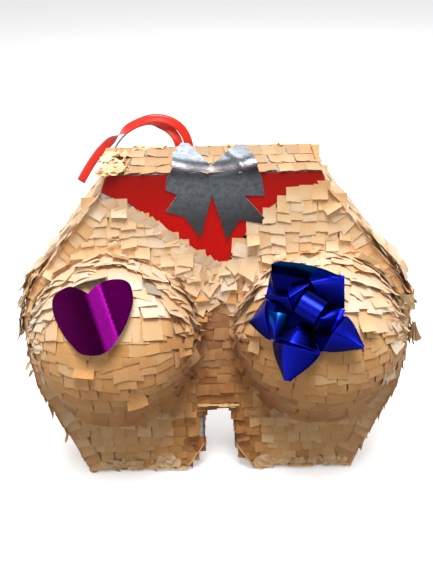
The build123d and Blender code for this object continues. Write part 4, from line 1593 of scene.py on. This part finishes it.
def add_pocket(foil, mouth, tip, base, rise, ridge=0.5, tip_height=None, deep=0.0, painted_teal=0.0, dark_side=0):
    """One loop: a floor and an arched top between the two corners of its mouth and of its tip."""
    (ax, ay), (bx, by) = mouth
    (cx, cy), (dx, dy) = tip
    end_height = base if tip_height is None else tip_height
    points = []
    shade = []
    teals = []
    for row in range(POCKET_ROWS):
        t = row / (POCKET_ROWS - 1)
        swell = 1.5 * sin(pi * t) / 20.0
        x0, y0 = ax + (cx - ax) * t, ay + (cy - ay) * t
        x1, y1 = bx + (dx - bx) * t, by + (dy - by) * t
        x0, x1 = x0 - (x1 - x0) * swell, x1 + (x1 - x0) * swell
        y0, y1 = y0 - (y1 - y0) * swell, y1 + (y1 - y0) * swell
        floor_level = base + (end_height - base) * t
        tall = rise * (1 - t) ** 0.8 + 0.8
        for k in range(FLOOR_COLUMNS + ARCH_COLUMNS):
            under = k < FLOOR_COLUMNS
            q = 1 - k / (FLOOR_COLUMNS - 1) if under else (k - FLOOR_COLUMNS) / (ARCH_COLUMNS - 1)
            reach = q / ridge if q < ridge else (1 - q) / (1 - ridge)
            high = 0.0 if under else tall * (1 - (1 - reach) ** 1.45)
            points.append((x0 + (x1 - x0) * q, y0 + (y1 - y0) * q, floor_level + high))
            # Painted light: the mouth's rim is painted lighter as a glint, the floor and one flank darker as
            # shade.
            rim = 0.45 if row == 0 and not under else 0.0
            on_dark = dark_side * (q - ridge) > 0
            flank = (0.78 if on_dark else 0.42) * (1 - reach) ** (0.8 if on_dark else 1.4)
            shade.append(float(np.clip(deep + (0.6 if under else flank) - rim, 0, 1)))
            teals.append(painted_teal * t**3)
    add_foil(foil, points, grid_faces(POCKET_ROWS, FLOOR_COLUMNS + ARCH_COLUMNS), shade, teals)
    pocket_strip(foil, mouth, base, deep, painted_teal)


def add_wall(foil, low, high, deep, painted_teal):
    """A curved sheet between a lower and an upper line, each a few points on the bow's plane."""
    rows = 8
    columns = 24
    spots = np.linspace(0, 1, columns)
    lines = []
    for line in (low, high):
        line = np.asarray(line, dtype=float)
        at = np.linspace(0, 1, len(line))
        lines.append(np.stack([np.interp(spots, at, line[:, k]) for k in range(3)], -1))
    points = []
    for row in range(rows):
        t = row / (rows - 1)
        sag = np.array([0.0, 0.0, -2.5 * sin(pi * t)])
        points.append(lines[0] * (1 - t) + lines[1] * t + sag)
    shade_teal = np.repeat(np.linspace(0.2, 1.0, rows), columns) * painted_teal
    add_foil(foil, np.vstack(points), grid_faces(rows, columns), deep, shade_teal)


def foil_loops(name, foil, node):
    """The mesh of one set of loops, which stands for its CAD node."""
    marks = {mark: np.concatenate(foil[mark]) for mark in ("deep", "painted_teal")}
    piece = make_mesh(name, np.vstack(foil["points"]), foil["faces"], [BLUE], marks)
    stand_for(piece, node)
    print(name, len(piece.data.polygons), "faces")


# %% Outer loops
outer = new_foil()
left_loop = ((-33, -23.5), (-41, 14.5)), ((-55, -9.5), (-54, -7))
low_loop = ((15, -31), (-30.5, -25)), ((-10, -59.5), (-16, -59))
right_loop = ((35.5, 6), (17, -28.5)), ((54, -20), (53, -22.5))
high_loop = ((15, 15), (-2, 37)), ((33, 12), (30, 42))
add_pocket(outer, *left_loop, 1.8, 17, ridge=0.58, deep=0.15, dark_side=-1)
add_pocket(outer, *low_loop, 2.2, 20, ridge=0.64, deep=0.0, dark_side=-1)
add_pocket(outer, *right_loop, 1.8, 17, ridge=0.50, deep=0.12, dark_side=1)
add_pocket(outer, *high_loop, 12, 12, ridge=0.72, tip_height=10, deep=0.25, dark_side=-1)
HUB_RADII = (2.0, 18.0, 33.0)
hub_angles = np.linspace(0, 2 * pi, 25)
hub = [(r * cos(a), r * sin(a), 1.5 + 0.02 * r) for r in HUB_RADII for a in hub_angles]
# Painted shade: the hub under the loops is nearly black.
add_foil(outer, hub, grid_faces(len(HUB_RADII), len(hub_angles)), 0.92)
far_edge = [(-39, 47, 9), (-31, 50, 13), (-11, 49, 16), (10, 46, 16), (27, 41, 13)]
# Painted shade inside the loop at the back, with a painted reflection on its far wall.
add_wall(outer, [(-37, 18, 1.8), (-14, 16, 1.8), (8, 14, 1.8)], far_edge, 0.62, 0.75)
near_rim = [(-39, 47, 9), (-38, 38, 17), (-20, 36, 20), (-3, 34, 18)]
add_wall(outer, [(-42, 15, 2.5), (-30, 12, 5), (-16, 8, 8), (-4, 6, 9)], near_rim, 0.80, 0.0)
foil_loops("star_bow_outer_loops", outer, "gift_bow_outer_loops")

# %% Inner loops
inner = new_foil()
# Each small cone's deep value is painted shade.
add_pocket(inner, ((-13, 7), (-19, 24.5)), ((-1, 28), (1, 31)), 18, 7, tip_height=22, deep=0.12, dark_side=-1)
add_pocket(inner, ((-13, 4), (-20, 21)), ((-40, 14), (-41, 17)), 13, 8, ridge=0.6, deep=0.55)
add_pocket(inner, ((-22, -24), (-30, -23)), ((-18, 1), (-34, 2)), 15, 5, tip_height=18, deep=0.55, painted_teal=0.8)
add_pocket(inner, ((14, -30), (-26, -21)), ((1, -8), (-9, -8)), 19, 7, ridge=0.6, tip_height=17, deep=0.72)
add_pocket(inner, ((18, 12), (8, -14)), ((31, 10.5), (23, -11)), 13, 7, tip_height=16, deep=0.78)
bright_low = [(23, -11, 15), (27.5, 0, 19), (30, 11, 17)]
bright_high = [(26, -10, 19), (31, 0, 23), (35, 10, 20)]
add_wall(inner, bright_low, bright_high, 0.05, 0.0)
foil_loops("star_bow_inner_loops", inner, "gift_bow_inner_loops")


# %% Centre roll
ROLL_WIDTH = 21
ROLL_PLACE = (5, 7.5, 17)


def centre_roll():
    """The roll in the middle: one turn of ribbon and a little more, set askew on the loops."""
    foil = new_foil()
    rows = 10
    around = 36
    turn = radians(-26)
    points = []
    shade = []
    for row in range(rows):
        across = (row / (rows - 1) - 0.5) * ROLL_WIDTH
        for k in range(around):
            a = 2 * pi * 1.06 * k / (around - 1)
            radius = 11.4 - 1.0 * k / (around - 1)
            wide = radius * sin(a) * 1.15
            high = radius * (1 - cos(a)) * 0.95
            x = across * cos(turn) - wide * sin(turn)
            y = across * sin(turn) + wide * cos(turn)
            points.append((x + ROLL_PLACE[0], y + ROLL_PLACE[1], high + ROLL_PLACE[2]))
            # Painted shade: the roll is darker towards its sides.
            shade.append(0.30 + 0.45 * min(1.0, abs(wide + 3.5) / 11.0))
    add_foil(foil, points, grid_faces(rows, around), shade)
    foil_loops("star_bow_centre_roll", foil, "gift_bow_centre_loop")


centre_roll()

# %% [markdown]
# ## Ribbon
#
# The hanging ribbon is satin: flat and glossy, with a painted pink highlight where it turns its
# edge to the light. Its two tails rise from a knot behind the top edge and arch over to the left.
# Each follows a smooth spline. The strip faces the front until it twists on its way down: the long
# tail turns right over, and the short one turns a quarter.

# %% Ribbon material
def red_satin():
    """Red satin: darker at its rims, with a painted pink highlight where it turns its edge to the light."""
    material, tree, shader = new_material("red_satin", rough=0.34, sheen=0.3, coat=0.25)
    foil = add_group(tree, RUBBED_FOIL, Brush_Scale=900.0, Stretch=0.12, Dent_Scale=60.0)
    base = mix(tree, foil.outputs["Brush"], colour(0.93, 0.20, 0.07), colour(0.84, 0.08, 0.02))
    rim = tinted(tree, base, read(tree, "rim"), (0.80, 1.0, 0.0, 0.7), colour(0.72, 0.03, 0.01))
    # Painted highlight: pink where the strip turns its edge to the light.
    painted_pink_highlight = mix(tree, read(tree, "turned"), rim, colour(0.96, 0.55, 0.60))
    wire(tree, painted_pink_highlight, shader.inputs["Base Color"])
    bump(tree, shader, foil.outputs["Brush"], 0.0002, 0.5)
    return material


SATIN = red_satin()

# %% Routes of the two tails
knot_mid = (knot[0] + knot[1]) / 2
TAIL_Y = 92.0
LONG_ROUTE = (
    [(-24, TAIL_Y, 320), (-24, TAIL_Y, 339), (-35, TAIL_Y + 2, 358), (-58, TAIL_Y + 3, 366)]
    + [(-84, TAIL_Y + 3, 357), (-107, TAIL_Y + 3, 341), (-126, TAIL_Y + 2, 322), (-140, TAIL_Y, 299)]
)
SHORT_ROUTE = (
    [(-34, TAIL_Y, 320), (-34, TAIL_Y, 336), (-42, TAIL_Y + 6, 350), (-60, TAIL_Y + 12, 358)]
    + [(-82, TAIL_Y + 14, 352), (-100, TAIL_Y + 12, 338), (-110, TAIL_Y + 8, 319)]
)
TAIL_WIDTH = 9.0
RIBBON_ACROSS = np.linspace(-1, 1, 5)


def route_points(name, route):
    """Evenly read points of the smooth line that a route's points pull along, in metres."""
    curve = bpy.data.curves.new(name, "CURVE")
    curve.dimensions = "3D"
    spline = curve.splines.new("NURBS")
    spline.points.add(len(route) - 1)
    for point, spot in zip(spline.points, to_frame(route)):
        point.co = (*spot, 1.0)
    spline.order_u = 3
    spline.use_endpoint_u = True
    spline.resolution_u = 16
    holder = bpy.data.objects.new(name, curve)
    mesh = bpy.data.meshes.new_from_object(holder)
    points = np.array([vertex.co[:] for vertex in mesh.vertices])
    bpy.data.objects.remove(holder)
    bpy.data.meshes.remove(mesh)
    return points


def ribbon_tail(name, route, node, twist_at, twist_by):
    """A flat strip along a route, which faces forwards and turns over at one place."""
    path = route_points(name + "_line", route)
    run = unit(np.gradient(path, axis=0))
    steps = lengths_along(path)
    share = steps / steps[-1]
    to_eye = np.array([0.0, -cos(CAMERA_RISE), sin(CAMERA_RISE)])
    flat_side = unit(np.cross(run, to_eye))
    other = unit(np.cross(run, flat_side))
    turn = twist_by / (1 + np.exp(-(share - twist_at) / 0.035))
    width = flat_side * np.cos(turn)[:, None] + other * np.sin(turn)[:, None]
    face = unit(np.cross(run, width))
    points = []
    rim = []
    turned = []
    for k, spot in enumerate(path):
        for side in RIBBON_ACROSS:
            bow = 0.00035 * (1 - side**2)
            points.append((spot + width[k] * side * TAIL_WIDTH / 2 * MM + face[k] * bow) / MM - SHIFT)
            rim.append(abs(side))
            # The mask of the painted pink highlight: where the strip turns edge-on.
            turned.append(abs(sin(turn[k])) ** 3)
    count = len(points)
    thick = np.repeat(face, 5, axis=0) * 0.3
    back = np.array(points) - thick
    rows = len(path)
    faces = grid_faces(rows, 5) + [tuple(reversed(f)) for f in grid_faces(rows, 5, count)]
    for row in range(rows - 1):
        a = row * 5
        faces.append((a, a + 5, count + a + 5, count + a))
        faces.append((a + 4 + 5, a + 4, count + a + 4, count + a + 9))
    for a in (0, (rows - 1) * 5):
        faces += [(a + k, a + k + 1, count + a + k + 1, count + a + k) for k in range(4)]
    marks = {"rim": rim * 2, "turned": turned * 2}
    piece = make_mesh(name, np.vstack([points, back]), faces, [SATIN], marks)
    stand_for(piece, node)
    print(name, round(steps[-1] / MM, 1), "mm long")


ribbon_tail("ribbon_tail_long", LONG_ROUTE, "ribbon_long_tail", 0.63, pi)
ribbon_tail("ribbon_tail_short", SHORT_ROUTE, "ribbon_short_tail", 0.42, -pi / 2)


# %% [markdown]
# The knot is the same ribbon, pulled tight: two turns side by side and one across them. Each turn
# is a closed flat loop with rounded corners, a little crooked.

# %% Ribbon knot
def knot_turn(points, faces, rim, centre, tall, deep, axis_turn, lean, width):
    """Adds one closed flat turn of ribbon round a centre, turned about the front-to-back axis."""
    start = len(points)
    around = 40
    for k in range(around):
        a = 2 * pi * k / around
        y = deep * np.sign(cos(a)) * abs(cos(a)) ** 0.7
        z = tall * np.sign(sin(a)) * abs(sin(a)) ** 0.7
        for side in RIBBON_ACROSS:
            x = side * width / 2
            pinch = 1 - 0.06 * side**2
            tilted = z * pinch + lean * x
            spun_x = x * cos(axis_turn) - tilted * sin(axis_turn)
            spun_z = x * sin(axis_turn) + tilted * cos(axis_turn)
            points.append(centre + np.array([spun_x, y * pinch, spun_z]))
            rim.append(abs(side))
    for k in range(around):
        for side in range(4):
            a = start + k * 5 + side
            b = start + (k + 1) % around * 5 + side
            faces.append((a, a + 1, b + 1, b))


knot_points = []
knot_faces = []
knot_rim = []
half_deep = (knot[1][1] - knot[0][1]) / 2
half_tall = (knot[1][2] - knot[0][2]) / 2
knot_parts = (knot_points, knot_faces, knot_rim)
for offset, shrink, lean in ((-6.0, 0.86, 0.10), (5.5, 0.90, -0.12)):
    middle = knot_mid + np.array([offset, 0.0, 0.0])
    knot_turn(*knot_parts, middle, half_tall * shrink, half_deep * shrink, 0.05, lean, 10.5)
knot_turn(*knot_parts, knot_mid, 10.8, half_deep * 0.98, radians(84), 0.05, 8.5)
knot_marks = {"rim": knot_rim, "turned": np.zeros(len(knot_points))}
knot_piece = make_mesh("ribbon_knot_turns", knot_points, knot_faces, [SATIN], knot_marks)
stand_for(knot_piece, "ribbon_knot")
print("ribbon knot", len(knot_faces), "faces")

# %% [markdown]
# ## Card, newsprint, wire
#
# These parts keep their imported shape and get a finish. Newsprint is pale grey with plain darker
# bars, as print looks when nothing can be read. Corrugated card has a faint line for each flute.

# %% Newsprint
def newsprint():
    """Pale grey paper with plain bars, broken up as lines of print are."""
    material, tree, shader = new_material("newsprint", rough=0.82)
    place = object_place(tree)
    paper = add_group(tree, CREASED_PAPER, Crease_Scale=45.0, Fibre_Scale=1100.0, Crease_Share=0.4)
    bars = tree.nodes.new("ShaderNodeTexWave")
    bars.wave_type = "BANDS"
    bars.bands_direction = "Z"
    bars.inputs["Scale"].default_value = 110.0
    bars.inputs["Distortion"].default_value = 0.6
    wire(tree, place, bars.inputs["Vector"])
    lines = spread(tree, bars.outputs["Fac"], 0.45, 0.6, 0.0, 1.0)
    breaks = spread(tree, noise(tree, place, 260.0), 0.42, 0.52, 0.0, 0.55)
    inked = maths(tree, "MULTIPLY", lines, breaks)
    sheet_tone = mix(tree, paper.outputs["Drift"], colour(0.84, 0.82, 0.78), colour(0.74, 0.73, 0.70))
    wire(tree, mix(tree, inked, sheet_tone, colour(0.42, 0.42, 0.43)), shader.inputs["Base Color"])
    bump(tree, shader, paper.outputs["Height"], 0.0003, 0.5)
    return material


# %% Corrugated card
def corrugated_card():
    """Brown card with a faint line for each flute."""
    material, tree, shader = new_material("corrugated_card", rough=0.88)
    paper = add_group(tree, CREASED_PAPER, Crease_Scale=20.0, Fibre_Scale=1600.0, Crease_Share=0.1)
    flutes = tree.nodes.new("ShaderNodeTexWave")
    flutes.bands_direction = "X"
    flutes.inputs["Scale"].default_value = 60.0
    wire(tree, object_place(tree), flutes.inputs["Vector"])
    tone = mix(tree, paper.outputs["Drift"], colour(0.70, 0.55, 0.38), colour(0.62, 0.47, 0.31))
    lined = tinted(tree, tone, flutes.outputs["Fac"], (0.0, 1.0, 0.0, 0.18), colour(0.50, 0.37, 0.24))
    wire(tree, lined, shader.inputs["Base Color"])
    high = maths(tree, "ADD", paper.outputs["Height"], flutes.outputs["Fac"])
    bump(tree, shader, high, 0.0003, 0.5)
    return material


# %% Papier-mache and staple wire
def papier_mache():
    """Pasted paper strips, dried hard and darker along their creases."""
    material, tree, shader = new_material("papier_mache", rough=0.85)
    paper = add_group(tree, CREASED_PAPER, Crease_Scale=38.0, Fibre_Scale=600.0, Crease_Share=0.7)
    pulp = colour(0.80, 0.77, 0.72)
    strips = tinted(tree, pulp, paper.outputs["Crease"], (0.3, 1.0, 0.0, 0.5), colour(0.62, 0.58, 0.52))
    wire(tree, strips, shader.inputs["Base Color"])
    bump(tree, shader, paper.outputs["Height"], 0.0012, 0.6)
    return material


def staple_steel():
    """Drawn steel wire, a little rubbed."""
    material, tree, shader = new_material("staple_steel", rough=0.3, metal=1.0)
    foil = add_group(tree, RUBBED_FOIL, Brush_Scale=1500.0, Stretch=8.0, Dent_Scale=200.0)
    steel = mix(tree, foil.outputs["Rub"], colour(0.80, 0.80, 0.82), colour(0.60, 0.60, 0.62))
    wire(tree, steel, shader.inputs["Base Color"])
    bump(tree, shader, foil.outputs["Brush"], 0.0001, 0.5)
    return material


def coat(names, material):
    """Gives kept frame parts their finish."""
    for name in names:
        for holder in frame["nodes"][name].material_slots:
            holder.material = material
    print(material.name, "on", len(names), "parts")


coat(["front_newsprint", "back_newsprint", "edge_newsprint"], newsprint())
coat(
    ["front_panel", "back_panel", "top_strip", "left_side_strip", "right_side_strip", "left_foot_strip",
     "right_foot_strip", "leg_gap_strip", "hang_patch", "fill_flap"],
    corrugated_card(),
)
coat(["left_dome", "right_dome", "left_dome_collar", "right_dome_collar"], papier_mache())
coat(["gift_bow_base"], WHITE_CARD)
coat(["gift_bow_staple"], staple_steel())
coat(["ribbon_stay"], SATIN)

# %% [markdown]
# ## Floor and light
#
# A plain pale floor and large soft lamps, as on a packing table. The key light comes from above
# and a little in front, so each row of squares shades the one below it. Two low lamps brighten the
# hips, and one behind lights the back. The world is dim, so the foils have something dark to
# reflect, but the camera itself sees a pale backdrop.

# %% Floor
floor_mesh = bpy.data.meshes.new("floor")
floor_mesh.from_pydata([(-6, -4, 0), (6, -4, 0), (6, 8, 0), (-6, 8, 0)], [], [(0, 1, 2, 3)])
floor = bpy.data.objects.new("floor", floor_mesh)
bpy.context.scene.collection.objects.link(floor)


def grey(level):
    """A linear grey."""
    return (level, level, level, 1.0)


floor_material, floor_tree, floor_shader = new_material("pale_floor", rough=0.9)
seen = floor_tree.nodes.new("ShaderNodeLightPath").outputs["Is Camera Ray"]
floor_tone = mix(floor_tree, seen, (0.30, 0.29, 0.28, 1.0), grey(0.95))
wire(floor_tree, floor_tone, floor_shader.inputs["Base Color"])
wire(floor_tree, mix(floor_tree, seen, grey(0.0), grey(1.0)), floor_shader.inputs["Emission Color"])
floor_shader.inputs["Emission Strength"].default_value = 0.40
floor_mesh.materials.append(floor_material)
floor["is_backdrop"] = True
print("pale floor", floor.name, "with", floor_material.name)


# %% Lamps
def lamp(name, place, aim, size, power):
    """A round soft lamp at a place, turned to its aim, in metres and watts."""
    data = bpy.data.lights.new(name, "AREA")
    data.shape = "DISK"
    data.size = size
    data.energy = power
    piece = bpy.data.objects.new(name, data)
    piece.location = place
    piece.rotation_euler = (Vector(aim) - Vector(place)).to_track_quat("-Z", "Y").to_euler()
    bpy.context.scene.collection.objects.link(piece)


lamp("key_lamp", (0.0, -0.72, 1.82), (0.0, 0.0, 0.15), 0.8, 31.0)
lamp("front_lamp", (-0.9, -1.8, 0.9), (0.0, 0.0, 0.2), 1.2, 2.0)
lamp("left_lamp", (-1.6, -0.30, 0.60), (-0.1, 0.0, 0.2), 0.9, 4.0)
lamp("right_lamp", (1.6, -0.30, 0.60), (0.1, 0.0, 0.2), 0.9, 3.5)
lamp("back_lamp", (0.2, 1.6, 1.6), (0.0, 0.4, 0.0), 1.4, 16.0)
print("lamps", [data.name for data in bpy.data.lights])

# %% World
world = bpy.data.worlds.new("studio")
bpy.context.scene.world = world
world.use_nodes = True
sky = world.node_tree
heading = sky.nodes.new("ShaderNodeTexCoord")
parts = sky.nodes.new("ShaderNodeSeparateXYZ")
wire(sky, heading.outputs["Generated"], parts.inputs[0])
level = spread(sky, parts.outputs["Z"], -0.1, 0.9, 0.0, 1.0)
dim = sky.nodes["Background"]
wire(sky, mix(sky, level, (0.20, 0.19, 0.18, 1.0), grey(1.15)), dim.inputs["Color"])
dim.inputs["Strength"].default_value = 0.44
backdrop = sky.nodes.new("ShaderNodeBackground")
backdrop.inputs["Color"].default_value = grey(0.96)
camera_rays = sky.nodes.new("ShaderNodeLightPath")
either = sky.nodes.new("ShaderNodeMixShader")
wire(sky, camera_rays.outputs["Is Camera Ray"], either.inputs[0])
wire(sky, dim.outputs[0], either.inputs[1])
wire(sky, backdrop.outputs[0], either.inputs[2])
wire(sky, either.outputs[0], sky.nodes["World Output"].inputs["Surface"])
bpy.context.scene.view_settings.view_transform = "Standard"

# %% [markdown]
# ## Print the size, and finish
#
# The frame's box is printed at the start and the dressed box at the end, so the two can be set
# side by side.

# %% Finish
visual_box = [list(corner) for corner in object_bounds()]
print("dressed box", [[round(c, 3) for c in corner] for corner in visual_box])
